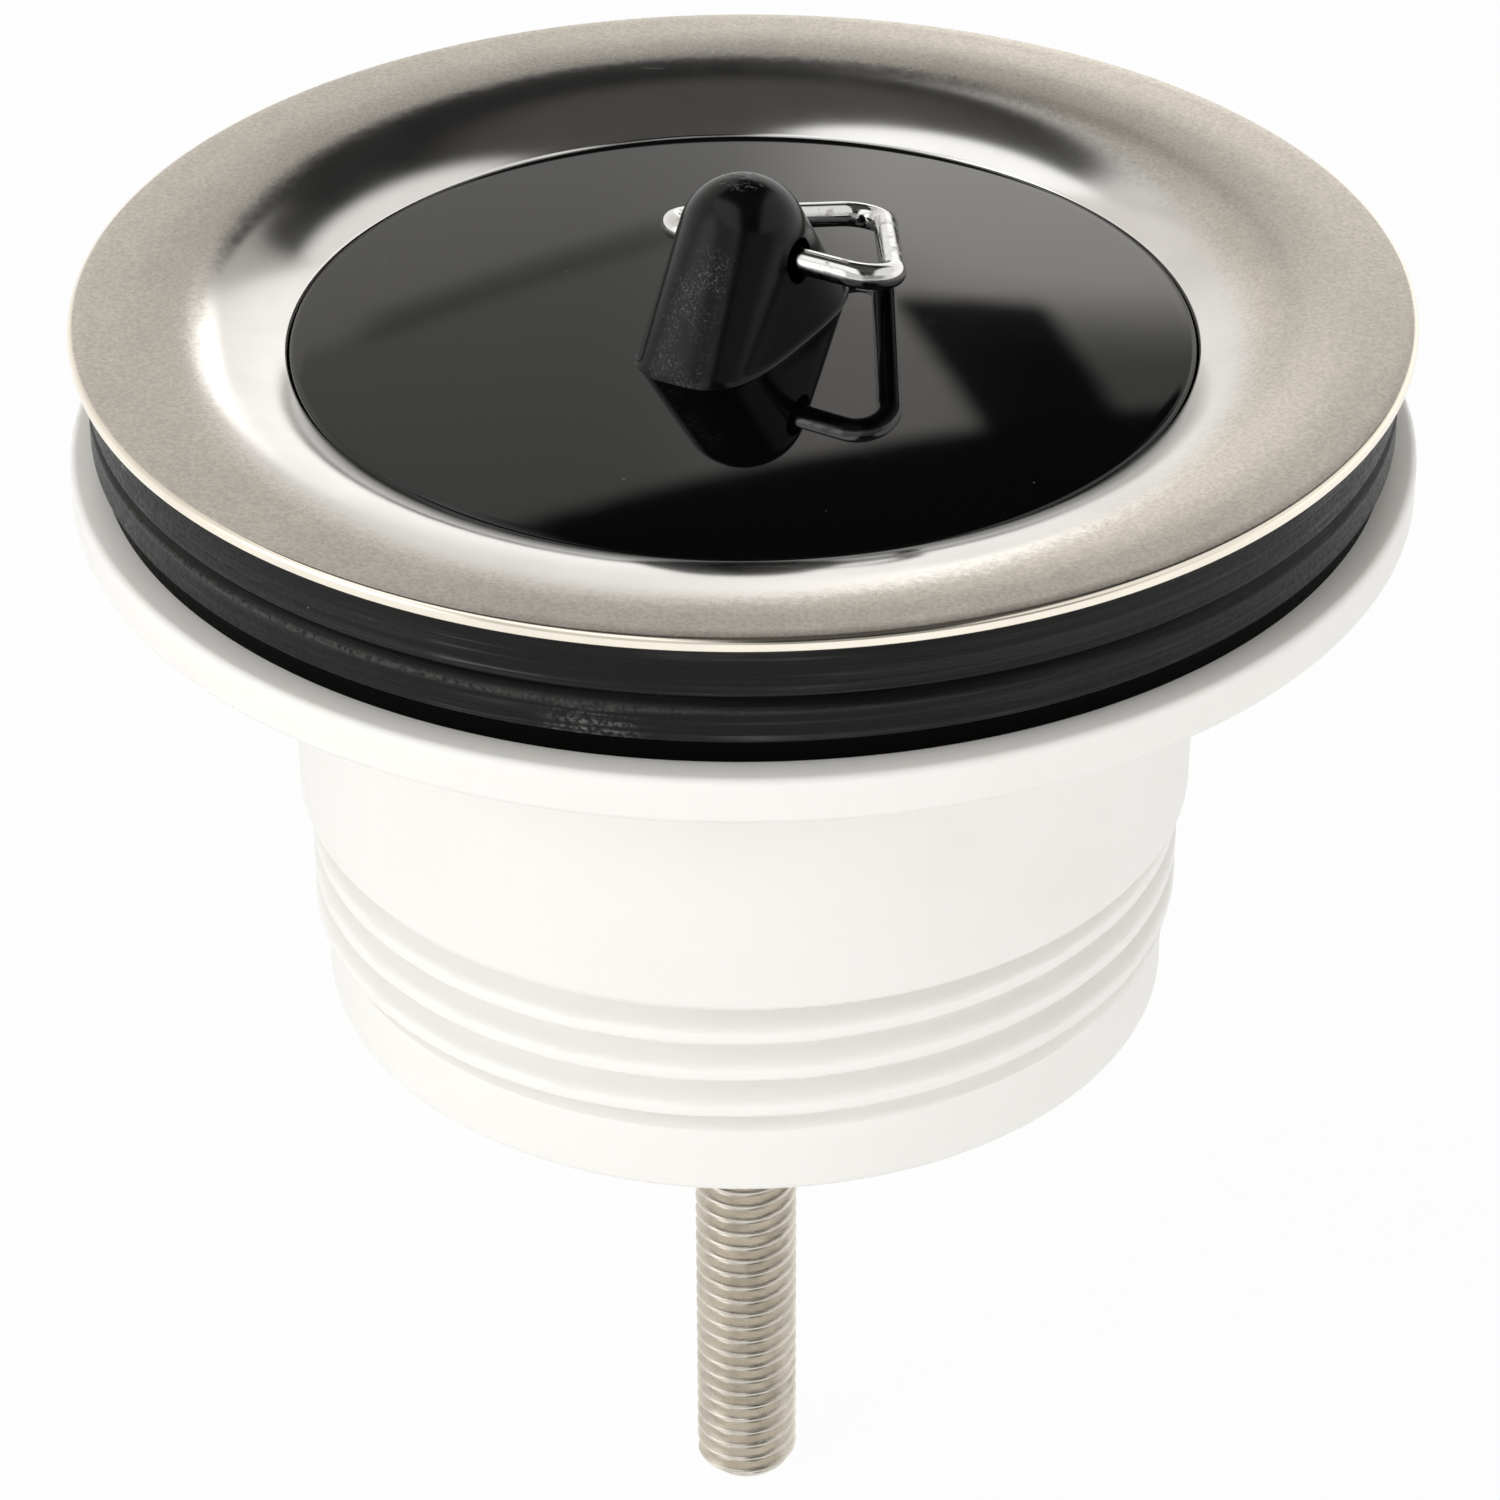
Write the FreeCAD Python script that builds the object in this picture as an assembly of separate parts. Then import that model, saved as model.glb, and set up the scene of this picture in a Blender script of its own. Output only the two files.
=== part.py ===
import FreeCAD, Part
import math
import os

# Driving dimensions, in millimetres and degrees
# The origin is the centre of the upper seal's underside, where the sink's surface lies, and +Z is up

# Pressed steel flange with its strainer cup
flange_radius = 35.0
sheet = 0.8
rim_round_share = 0.42
flat_width = 6.7
throat_bend = 4.93
throat_turn = 64.0
cone_depth = 6.8
wall_bend = 2.0
wall_turn = 80.0
floor_bend = 1.2
cup_depth = 9.2
slot_count = 8
slot_width = 3.6
slot_start_margin = 3.4
slot_end_margin = 2.2

# Rubber seals above and below the sink
seal_setback = 0.8
upper_seal_height = 2.9
upper_seal_width = 5.6
seal_round = 0.25
seal_gap = 0.15
lower_seal_height = 3.65
lower_seal_width = 8.2
lower_seal_bevel = 0.55
lower_foot_height = 1.35
lower_foot_step = 0.9

# Plastic tail with its pipe thread
tail_flange_proud = 0.4
tail_flange_thickness = 2.5
tail_edge_round = 0.35
neck_fillet = 1.0
cup_clearance = 0.3
neck_wall = 1.79
neck_draft = 0.2
neck_length = 18.7
thread_step = 0.5
thread_pitch = 2.309
thread_depth = 1.48
thread_length = 8.4
thread_land = 0.5
thread_root_width = 0.35
skirt_setback = 0.6
skirt_length = 3.95
skirt_chamfer = 0.4
tail_wall = 2.1
mouth_depth = 8.2
mouth_taper = 2.0
spider_depth = 12.2
spider_height = 10.0
arm_count = 4
arm_thickness = 2.4
arm_heading = 45.0
hub_wall = 1.75

# Captive nut and centre screw
nut_flats = 10.0
nut_height = 5.0
nut_clearance = 0.05
nut_bevel = 0.6
screw_radius = 2.95
screw_clearance = 0.05
hub_clearance = 0.25
screw_length = 70.0
screw_pitch = 1.0
screw_depth = 0.61
crest_share = 0.14
root_share = 0.22
head_radius = 5.65
head_rise = 0.2
head_gap = 0.05
shank_length = 1.5
shank_setback = 0.25
tip_length = 0.9
tip_setback = 0.85
drive_width = 1.5
drive_depth = 1.3
hole_clearance = 0.3

# Plug: gloss disc, rubber seal, knob with its stem
plug_sink = 2.7
disc_edge_gap = 0.58
disc_dome = 0.7
disc_thickness = 1.4
disc_bevel = 0.35
disc_taper = 0.45
plug_seal_gap = 0.25
plug_seal_height = 3.1
plug_seal_wall = 2.1
web_thickness = 1.4
stem_radius = 2.4
stem_clearance = 0.05
stem_foot_radius = 3.6
stem_foot_height = 0.6
knob_heading = 60.0
knob_width = 7.2
knob_side_length = 10.9
knob_end_bulge = 1.8
knob_foot_sink = 0.15
knob_tent_height = 5.2
knob_dome_radius = 3.3
eye_height = 4.6
eye_radius = 1.22

# Wire triangle in the knob's eye
wire_radius = 0.6
link_side = 15.0
link_bend = 1.6
link_offset = 1.5
link_dip_angle = 14.0


def sine(degrees):
    return math.sin(math.radians(degrees))


def cosine(degrees):
    return math.cos(math.radians(degrees))


def tangent(degrees):
    return math.tan(math.radians(degrees))


def spot(radius, height):
    return FreeCAD.Vector(radius, 0, height)


UP = FreeCAD.Vector(0, 0, 1)
ORIGIN = FreeCAD.Vector(0, 0, 0)


def line(a, b):
    return Part.LineSegment(a, b).toShape()


def arc(a, middle, b):
    return Part.Arc(a, middle, b).toShape()


def spin(edges):
    # A closed outline in the XZ plane turned once round the axis
    return Part.Face(Part.Wire(edges)).revolve(ORIGIN, UP, 360)


def turned(corners):
    # Each corner is a radius, a height and, when it is rounded, the size of the rounding
    points = [spot(c[0], c[1]) for c in corners]
    rounds = [c[2] if len(c) > 2 else 0 for c in corners]
    starts, middles, ends = [], [], []
    for i, p in enumerate(points):
        back = (points[i - 1] - p).normalize()
        ahead = (points[(i + 1) % len(points)] - p).normalize()
        half = back.getAngle(ahead) / 2
        run = rounds[i] / math.tan(half)
        starts.append(p + back * run)
        ends.append(p + ahead * run)
        middles.append(p + (back + ahead).normalize() * (rounds[i] / math.sin(half) - rounds[i]))
    edges = []
    for i in range(len(points)):
        if rounds[i]:
            edges.append(arc(starts[i], middles[i], ends[i]))
        edges.append(line(ends[i], starts[(i + 1) % len(points)]))
    return spin(edges)


def upright(radius, bottom, top):
    return Part.makeCylinder(radius, top - bottom, spot(0, bottom), UP)


# Levels that follow from the stack
rim_top = upper_seal_height + sheet
floor_top = rim_top - cup_depth
lower_seal_top = -seal_gap
tail_top = lower_seal_top - lower_seal_height
tail_flange_under = tail_top - tail_flange_thickness
neck_end = tail_flange_under - neck_length
thread_end = neck_end - thread_length
tail_end = thread_end - skirt_length
spider_top = tail_top - spider_depth
spider_under = spider_top - spider_height
disc_top = rim_top - plug_sink
disc_under = disc_top - disc_thickness
web_under = disc_under - web_thickness
seal_foot = disc_under - plug_seal_height

# The pressed sheet: bends are named by the angle of the face below the horizontal
throat_centre = spot(flange_radius - flat_width, rim_top - throat_bend)


def on_bend(centre, radius, turn):
    return spot(centre.x - radius * sine(turn), centre.z + radius * cosine(turn))


cone_start = on_bend(throat_centre, throat_bend, throat_turn)
cone_end_height = rim_top - cone_depth


def cone_radius(height):
    return cone_start.x - (cone_start.z - height) / tangent(throat_turn)


cone_end = spot(cone_radius(cone_end_height), cone_end_height)
wall_centre = on_bend(cone_end, -wall_bend, throat_turn)
wall_start = on_bend(wall_centre, wall_bend, wall_turn)


def wall_radius(height):
    return wall_start.x - (wall_start.z - height) / tangent(wall_turn)


wall_end_height = floor_top + floor_bend * (1 - cosine(wall_turn))
wall_end = spot(wall_radius(wall_end_height), wall_end_height)
floor_centre = on_bend(wall_end, floor_bend, wall_turn)
head_angle = 45.0
screw_hole_radius = screw_radius + hole_clearance
dimple_radius = head_radius - head_rise + head_gap / sine(head_angle)
dimple_depth = (dimple_radius - screw_hole_radius) * tangent(head_angle)


def skin(offset):
    # Points along one face of the sheet, from the rim to the screw hole
    throat = throat_bend - offset
    wall = wall_bend - offset
    floor = -(floor_bend + offset)
    half_turn = throat_turn / 2
    wall_mid = (throat_turn + wall_turn) / 2
    floor_mid = wall_turn / 2
    return {
        "flat": on_bend(throat_centre, throat, 0),
        "throat": on_bend(throat_centre, throat, half_turn),
        "cone": on_bend(throat_centre, throat, throat_turn),
        "cone end": on_bend(wall_centre, wall, throat_turn),
        "knee": on_bend(wall_centre, wall, wall_mid),
        "wall": on_bend(wall_centre, wall, wall_turn),
        "wall end": on_bend(floor_centre, floor, wall_turn),
        "corner": on_bend(floor_centre, floor, floor_mid),
        "floor": on_bend(floor_centre, floor, 0),
        "dimple": spot(dimple_radius + offset * tangent(head_angle / 2), floor_top - offset),
        "hole": spot(screw_hole_radius, floor_top - dimple_depth - offset / cosine(head_angle)),
    }


def skin_edges(p):
    return [
        arc(p["flat"], p["throat"], p["cone"]),
        line(p["cone"], p["cone end"]),
        arc(p["cone end"], p["knee"], p["wall"]),
        line(p["wall"], p["wall end"]),
        arc(p["wall end"], p["corner"], p["floor"]),
        line(p["floor"], p["dimple"]),
        line(p["dimple"], p["hole"]),
    ]


rim_round = rim_round_share * sheet
rim_under = rim_top - sheet
upper_skin = skin(0)
lower_skin = skin(sheet)
rim_inner = flange_radius - rim_round
rim_nook = rim_round * (1 - cosine(head_angle))
rim_edges = [
    line(lower_skin["flat"], spot(rim_inner, rim_under)),
    arc(spot(rim_inner, rim_under), spot(flange_radius - rim_nook, rim_under + rim_nook),
        spot(flange_radius, rim_under + rim_round)),
    line(spot(flange_radius, rim_under + rim_round), spot(flange_radius, rim_top - rim_round)),
    arc(spot(flange_radius, rim_top - rim_round), spot(flange_radius - rim_nook, rim_top - rim_nook),
        spot(rim_inner, rim_top)),
    line(spot(rim_inner, rim_top), upper_skin["flat"]),
]
hole_edge = [line(upper_skin["hole"], lower_skin["hole"])]
flange_cup = spin(rim_edges + skin_edges(upper_skin) + hole_edge + skin_edges(lower_skin))

# Strainer slots: rounded at both ends and set out like spokes
slot_half = slot_width / 2
slot_from = dimple_radius + slot_start_margin
slot_to = floor_centre.x - slot_end_margin
slot_under = floor_top - sheet * 2
slot_over = floor_top + sheet
slot = Part.makeBox(slot_to - slot_from, slot_width, slot_over - slot_under,
                    FreeCAD.Vector(slot_from, -slot_half, slot_under))
for end in (slot_from, slot_to):
    slot = slot.fuse(Part.makeCylinder(slot_half, slot_over - slot_under, spot(end, slot_under), UP))
slots = []
for i in range(slot_count):
    turned_slot = slot.copy()
    turned_slot.rotate(ORIGIN, UP, 360 / slot_count * (i + 0.5))
    slots.append(turned_slot)
flange_cup = flange_cup.cut(slots)

# Seals
seal_radius = flange_radius - seal_setback
upper_seal_inner = seal_radius - upper_seal_width
upper_seal = turned([
    (upper_seal_inner, 0),
    (seal_radius, 0, seal_round),
    (seal_radius, upper_seal_height, seal_round),
    (upper_seal_inner, upper_seal_height),
])
lower_seal_inner = seal_radius - lower_seal_width
foot_radius = seal_radius - lower_foot_step
foot_top = tail_top + lower_foot_height
lower_seal = turned([
    (lower_seal_inner, tail_top),
    (foot_radius, tail_top),
    (foot_radius, foot_top, seal_round),
    (seal_radius, foot_top, seal_round),
    (seal_radius, lower_seal_top - lower_seal_bevel),
    (seal_radius - lower_seal_bevel, lower_seal_top),
    (lower_seal_inner, lower_seal_top),
])

# Tail: flange and neck, threaded ring, skirt, then the spider that carries the nut
cup_outer = max(cone_radius(tail_top) + sheet / sine(throat_turn),
                wall_radius(tail_top) + sheet / sine(wall_turn))
mouth_radius = cup_outer + cup_clearance
neck_radius = mouth_radius + neck_wall
tail_flange_radius = flange_radius + tail_flange_proud
thread_crest_radius = neck_radius - neck_draft - thread_step
thread_root_radius = thread_crest_radius - thread_depth
bore_radius = thread_root_radius - tail_wall
mouth_end = tail_top - mouth_depth
neck = turned([
    (mouth_radius, tail_top),
    (tail_flange_radius, tail_top, tail_edge_round),
    (tail_flange_radius, tail_flange_under, tail_edge_round),
    (neck_radius, tail_flange_under, neck_fillet),
    (neck_radius - neck_draft, neck_end, tail_edge_round),
    (bore_radius, neck_end),
    (bore_radius, mouth_end - mouth_taper),
    (mouth_radius, mouth_end),
])
thread_ring = turned([
    (bore_radius, neck_end),
    (thread_crest_radius, neck_end),
    (thread_crest_radius, thread_end),
    (bore_radius, thread_end),
])
flank_run = (thread_pitch - thread_land - thread_root_width) / 2
root_half = thread_root_width / 2
mouth_half = root_half + flank_run * 2
mouth_edge = thread_root_radius + thread_depth * 2
groove_start = thread_end - thread_pitch / 2
spine = Part.makeHelix(thread_pitch, thread_length + thread_pitch, thread_root_radius)
spine.translate(spot(0, groove_start))
groove_outline = Part.makePolygon([
    spot(thread_root_radius, groove_start - root_half),
    spot(mouth_edge, groove_start - mouth_half),
    spot(mouth_edge, groove_start + mouth_half),
    spot(thread_root_radius, groove_start + root_half),
    spot(thread_root_radius, groove_start - root_half),
])
sweep = Part.BRepOffsetAPI.MakePipeShell(Part.Wire(spine))
sweep.setBiNormalMode(UP)
sweep.add(groove_outline)
sweep.build()
sweep.makeSolid()
threaded_ring = thread_ring.cut(sweep.shape())
skirt_radius = thread_crest_radius - skirt_setback
skirt = turned([
    (bore_radius, thread_end),
    (skirt_radius, thread_end),
    (skirt_radius, tail_end + skirt_chamfer),
    (skirt_radius - skirt_chamfer, tail_end),
    (bore_radius + skirt_chamfer, tail_end),
    (bore_radius, tail_end + skirt_chamfer),
])
nut_pocket_flats = nut_flats + nut_clearance * 2
nut_corner = nut_flats / 2 / cosine(30)
pocket_corner = nut_pocket_flats / 2 / cosine(30)
hub_radius = pocket_corner + hub_wall
arms = [upright(hub_radius, spider_under, spider_top)]
for i in range(arm_count):
    reach = bore_radius + tail_wall / 2
    arm = Part.makeBox(reach, arm_thickness, spider_height,
                       FreeCAD.Vector(0, -arm_thickness / 2, spider_under))
    arm.rotate(ORIGIN, UP, arm_heading + 360 / arm_count * i)
    arms.append(arm)


def hexagon(corner, bottom, top):
    ring = [FreeCAD.Vector(corner * cosine(60 * i), corner * sine(60 * i), bottom) for i in range(7)]
    return Part.Face(Part.makePolygon(ring)).extrude(spot(0, top - bottom))


nut_under = spider_under + nut_clearance * 2
nut_top = nut_under + nut_height
pocket = hexagon(pocket_corner, spider_under, nut_top + nut_clearance)
hub_hole = upright(screw_radius + hub_clearance, spider_under, spider_top)
tail_body = neck.fuse([threaded_ring, skirt] + arms).cut([pocket, hub_hole]).removeSplitter()

# Nut: corners eased top and bottom
nut_barrel = turned([
    (screw_radius + screw_clearance, nut_under),
    (nut_corner - nut_bevel, nut_under),
    (nut_corner, nut_under + nut_bevel / 2),
    (nut_corner, nut_top - nut_bevel / 2),
    (nut_corner - nut_bevel, nut_top),
    (screw_radius + screw_clearance, nut_top),
])
insert_nut = hexagon(nut_corner, nut_under, nut_top).common(nut_barrel)

# Screw: sunk head, short shank, then one ring for each turn of thread
head_top = floor_top + head_rise
shank_radius = screw_radius - shank_setback
shank_top = head_top - (head_radius - shank_radius) * tangent(head_angle)
thread_top = shank_top - shank_length
screw_end = head_top - screw_length
ring_count = int((thread_top - screw_end - tip_length) / screw_pitch)
first_ring = screw_end + tip_length + ring_count * screw_pitch
flank_share = (1 - crest_share - root_share) / 2
screw_root = screw_radius - screw_depth
screw_corners = [(0, head_top), (head_radius, head_top), (shank_radius, shank_top), (shank_radius, first_ring)]
for i in range(ring_count):
    top = first_ring - i * screw_pitch
    screw_corners.append((screw_radius, top))
    screw_corners.append((screw_radius, top - crest_share * screw_pitch))
    screw_corners.append((screw_root, top - (crest_share + flank_share) * screw_pitch))
    screw_corners.append((screw_root, top - (1 - flank_share) * screw_pitch))
screw_corners.append((screw_radius, screw_end + tip_length))
screw_corners.append((screw_radius - tip_setback, screw_end))
screw_corners.append((0, screw_end))
drive_slot = Part.makeBox(head_radius * 3, drive_width, drive_depth * 2,
                          FreeCAD.Vector(-head_radius * 1.5, -drive_width / 2, head_top - drive_depth))
centre_screw = turned(screw_corners).cut(drive_slot)

# Plug disc, gently domed, and its seal, both kept off the cone
stem_hole = stem_radius + stem_clearance
disc_radius = cone_radius(disc_top - disc_bevel) - disc_edge_gap
dome_edge = disc_radius - disc_bevel
dome_bend = (dome_edge * dome_edge + disc_dome * disc_dome) / (disc_dome * 2)
crown = disc_top + disc_dome


def dome_height(radius):
    return crown - dome_bend + math.sqrt(dome_bend * dome_bend - radius * radius)


dome_middle = (stem_hole + dome_edge) / 2
disc_corners = [
    spot(dome_edge, disc_top),
    spot(disc_radius, disc_top - disc_bevel),
    spot(disc_radius - disc_taper, disc_under),
    spot(stem_hole, disc_under),
    spot(stem_hole, dome_height(stem_hole)),
]
disc_edges = [line(a, b) for a, b in zip(disc_corners, disc_corners[1:])]
disc_edges.append(arc(disc_corners[-1], spot(dome_middle, dome_height(dome_middle)), disc_corners[0]))
plug_disc = spin(disc_edges)
side_gap = plug_seal_gap / sine(throat_turn)
seal_inner_foot = cone_radius(seal_foot) - side_gap - plug_seal_wall
plug_seal = turned([
    (stem_hole, disc_under),
    (cone_radius(disc_under) - side_gap, disc_under),
    (cone_radius(seal_foot) - side_gap, seal_foot, seal_round),
    (seal_inner_foot, seal_foot, seal_round),
    (seal_inner_foot, web_under),
    (stem_hole, web_under),
])

# Knob: straight-sided foot drawn up to a round top, a ball on it, an eye across and a stem below
heading = FreeCAD.Vector(cosine(knob_heading), sine(knob_heading), 0)
across = FreeCAD.Vector(sine(knob_heading), -cosine(knob_heading), 0)
half_side = knob_side_length / 2
half_width = knob_width / 2
ball_height = crown + knob_tent_height
foot_height = dome_height(half_side + knob_end_bulge) - knob_foot_sink


def knob_spot(along, aside, height):
    return heading * along + across * aside + spot(0, height)


foot_edges = [
    line(knob_spot(-half_side, half_width, foot_height), knob_spot(half_side, half_width, foot_height)),
    arc(knob_spot(half_side, half_width, foot_height), knob_spot(half_side + knob_end_bulge, 0, foot_height),
        knob_spot(half_side, -half_width, foot_height)),
    line(knob_spot(half_side, -half_width, foot_height), knob_spot(-half_side, -half_width, foot_height)),
    arc(knob_spot(-half_side, -half_width, foot_height), knob_spot(-half_side - knob_end_bulge, 0, foot_height),
        knob_spot(-half_side, half_width, foot_height)),
]
corner_turn = math.degrees(math.atan2(half_width, half_side))


def round_spot(turn):
    return knob_spot(knob_dome_radius * cosine(turn), knob_dome_radius * sine(turn), ball_height)


crown_turns = [180 - corner_turn, corner_turn, -corner_turn, corner_turn - 180, -180 - corner_turn]
crown_edges = []
for first, last in zip(crown_turns, crown_turns[1:]):
    crown_edges.append(arc(round_spot(first), round_spot((first + last) / 2), round_spot(last)))
tent = Part.makeLoft([Part.Wire(foot_edges), Part.Wire(crown_edges)], True, True)
ball = Part.makeSphere(knob_dome_radius, spot(0, ball_height))
stem = upright(stem_radius, web_under, ball_height)
stem_foot = upright(stem_foot_radius, web_under - stem_foot_height, web_under)
eye_centre = spot(0, crown + eye_height)
eye = Part.makeCylinder(eye_radius, knob_width * 2, eye_centre - across * knob_width, across)
dome_ball = Part.makeSphere(dome_bend, spot(0, crown - dome_bend))
plug_knob = tent.cut(dome_ball).fuse([ball, stem, stem_foot]).cut(eye).removeSplitter()

# Link: three straight wires and three bends, drawn flat and then laid in the eye
wire_face_start = link_side / 2 - link_bend / tangent(30)
link_pieces = []
for i in range(3):
    turn = 120 * i
    leg_middle = FreeCAD.Vector(sine(turn), -cosine(turn), 0) * (link_side / 2 * tangent(30))
    leg_way = FreeCAD.Vector(cosine(turn), sine(turn), 0)
    leg_start = leg_middle - leg_way * wire_face_start
    leg_end = leg_middle + leg_way * wire_face_start
    link_pieces.append(Part.makeCylinder(wire_radius, wire_face_start * 2, leg_start, leg_way))
    bend_centre = leg_end + FreeCAD.Vector(-sine(turn), cosine(turn), 0) * link_bend
    cut_end = Part.Face(Part.Wire(Part.makeCircle(wire_radius, leg_end, leg_way)))
    link_pieces.append(cut_end.revolve(bend_centre, UP, 120))
wire_link = link_pieces[0].fuse(link_pieces[1:]).removeSplitter()
apex_way = heading * cosine(link_dip_angle) - UP * sine(link_dip_angle)
face_way = across.cross(apex_way)
laid = eye_centre + across * link_offset + apex_way * (link_side / 2 * tangent(30))
wire_link.Placement = FreeCAD.Placement(FreeCAD.Matrix(
    across.x, apex_way.x, face_way.x, laid.x,
    across.y, apex_way.y, face_way.y, laid.y,
    across.z, apex_way.z, face_way.z, laid.z,
    0, 0, 0, 1))

os.makedirs("parts", exist_ok=True)
nodes = {
    "flange_cup": flange_cup,
    "upper_seal": upper_seal,
    "lower_seal": lower_seal,
    "tail_body": tail_body,
    "insert_nut": insert_nut,
    "centre_screw": centre_screw,
    "plug_disc": plug_disc,
    "plug_seal": plug_seal,
    "plug_knob": plug_knob,
    "wire_link": wire_link,
}
for node, shape in nodes.items():
    shape.exportStep("parts/" + node + ".step")
    box = shape.BoundBox
    print(node, shape.isValid(), len(shape.Solids), round(shape.Volume, 1),
          [round(v, 2) for v in (box.XMin, box.XMax, box.YMin, box.YMax, box.ZMin, box.ZMax)])
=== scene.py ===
import math

import bpy
import numpy as np
from mathutils import Matrix, Vector


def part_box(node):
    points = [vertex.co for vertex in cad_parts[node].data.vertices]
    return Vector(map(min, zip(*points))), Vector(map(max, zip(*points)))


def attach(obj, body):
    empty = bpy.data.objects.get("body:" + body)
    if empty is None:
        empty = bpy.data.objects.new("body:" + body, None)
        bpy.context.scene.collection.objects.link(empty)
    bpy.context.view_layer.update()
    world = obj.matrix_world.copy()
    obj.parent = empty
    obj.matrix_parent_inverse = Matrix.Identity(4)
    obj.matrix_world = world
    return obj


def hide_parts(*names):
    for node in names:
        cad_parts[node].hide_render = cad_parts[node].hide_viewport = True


mm = 0.001          # every size below is in millimetres, meshes are in metres
turn = 2 * math.pi
creaseAngle = 40    # degrees between two faces from which their edge is kept sharp
tiny = 1e-6         # points nearer than this are one point
upward = np.array([0, 0, 1.0])

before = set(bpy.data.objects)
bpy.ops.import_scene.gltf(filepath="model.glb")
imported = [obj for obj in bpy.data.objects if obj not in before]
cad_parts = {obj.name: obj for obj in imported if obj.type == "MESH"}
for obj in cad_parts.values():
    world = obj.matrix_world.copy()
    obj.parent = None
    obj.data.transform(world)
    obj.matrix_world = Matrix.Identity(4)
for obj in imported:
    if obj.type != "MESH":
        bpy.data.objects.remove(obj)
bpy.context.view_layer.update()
scene = bpy.context.scene
scene.view_settings.view_transform = "Standard"


def lowHigh(node):
    # Lowest and highest corner of a CAD node, in millimetres
    low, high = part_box(node)
    return np.array(low) / mm, np.array(high) / mm


# Mesh helpers

def smoothShade(mesh, sharpAngle):
    # Smooth faces, with a crease wherever two of them meet at more than the angle
    mesh.polygons.foreach_set("use_smooth", np.ones(len(mesh.polygons), bool))
    mesh.set_sharp_from_angle(angle=math.radians(sharpAngle))


def newMesh(name, points, faces):
    # Points in millimetres and faces become a mesh in metres
    mesh = bpy.data.meshes.new(name)
    mesh.from_pydata(np.asarray(points) * mm, [], faces)
    return mesh


def addObject(name, data):
    # A new object of the scene, at the origin, that holds the data
    thing = bpy.data.objects.new(name, data)
    scene.collection.objects.link(thing)
    return thing


def makePiece(name, points, faces, body, material, sharpAngle=creaseAngle):
    # A smooth shaded piece with its material and its body
    mesh = newMesh(name, points, faces)
    mesh.materials.append(material)
    smoothShade(mesh, sharpAngle)
    mesh.update()
    piece = addObject(name, mesh)
    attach(piece, body)
    return piece


def gridFaces(rows, columns, closeRows=False):
    # Quads between neighbours of a grid, closed round its columns and, if asked, round its rows
    i = np.arange(rows if closeRows else rows - 1)[:, None]
    j = np.arange(columns)[None, :]
    nextI = (i + 1) % rows
    nextJ = (j + 1) % columns
    quads = np.stack(np.broadcast_arrays(
        i * columns + j, i * columns + nextJ, nextI * columns + nextJ, nextI * columns + j), -1)
    return quads.reshape(-1, 4)


def roundedLoop(corners, step, bendPoints=9):
    # Closed outline: each corner (radius, height, rounding) is cut by an arc tangent to both runs,
    # and the straight runs between the arcs are divided to the given step, the arcs three times finer
    finer = 3
    points = np.array([c[:2] for c in corners], float)
    sizes = np.array([c[2] if len(c) > 2 else 0 for c in corners], float)
    back = np.roll(points, 1, 0) - points
    ahead = np.roll(points, -1, 0) - points
    back /= np.linalg.norm(back, axis=1, keepdims=True)
    ahead /= np.linalg.norm(ahead, axis=1, keepdims=True)
    half = np.arccos(np.clip((back * ahead).sum(1), -1, 1)) / 2
    run = (sizes / np.tan(half))[:, None]
    starts, ends = points + back * run, points + ahead * run
    bisector = back + ahead
    bisector /= np.linalg.norm(bisector, axis=1, keepdims=True)
    centres = points + bisector * (sizes / np.sin(half))[:, None]
    pieces = []
    for k in range(len(points)):
        if sizes[k]:
            swing = math.pi - 2 * half[k]
            share = np.linspace(0, 1, max(bendPoints, int(swing * sizes[k] / step * finer)))[:, None]
            a, b = starts[k] - centres[k], ends[k] - centres[k]
            arc = (np.sin((1 - share) * swing) * a + np.sin(share * swing) * b) / math.sin(swing)
            pieces.append(centres[k] + arc)
        else:
            pieces.append(points[k:k + 1])
        following = starts[(k + 1) % len(points)]
        count = int(np.linalg.norm(following - ends[k]) / step) + 1
        share = (np.arange(1, count) / count)[:, None]
        pieces.append(ends[k] + (following - ends[k]) * share)
    loop = np.concatenate(pieces)
    gap = np.linalg.norm(loop - np.roll(loop, 1, 0), axis=1)
    return loop[gap > tiny]


def ringAngles(count, shift=0.0):
    # Equal steps round a full turn, moved on by a share of a step
    return (np.arange(count) + shift) * turn / count


def unitCircle(angle):
    # Flat points at the given angles, one away from the middle
    return np.stack([np.cos(angle), np.sin(angle)], -1)


def swung(flat, angle):
    # Flat points turned about the upright axis: x cos a - y sin a, x sin a + y cos a
    c, s = math.cos(angle), math.sin(angle)
    return np.stack([flat[..., 0] * c - flat[..., 1] * s, flat[..., 0] * s + flat[..., 1] * c], -1)


def roundPoints(radii, heights):
    # Rows of radii carried round the upright axis, each at its height: x = r cos a, y = r sin a, z = h
    angle = ringAngles(radii.shape[1])
    x, y = radii * np.cos(angle), radii * np.sin(angle)
    return np.stack([x, y, heights[:, None] + 0 * angle], -1).reshape(-1, 3)


def turnedPoints(loop, steps):
    # An outline of (radius, height) carried round the upright axis
    return roundPoints(loop[:, :1] * np.ones(steps), loop[:, 1])


def turnedPiece(name, loop, steps, body, material, sharpAngle=creaseAngle):
    # A closed outline that runs against the clock in (radius, height) gives faces that point outwards
    area = (loop[:, 0] * np.roll(loop[:, 1], -1) - loop[:, 1] * np.roll(loop[:, 0], -1)).sum()
    if area < 0:
        loop = loop[::-1]
    points, faces = turnedPoints(loop, steps), gridFaces(len(loop), steps, True)
    return makePiece(name, points, faces, body, material, sharpAngle)


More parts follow.
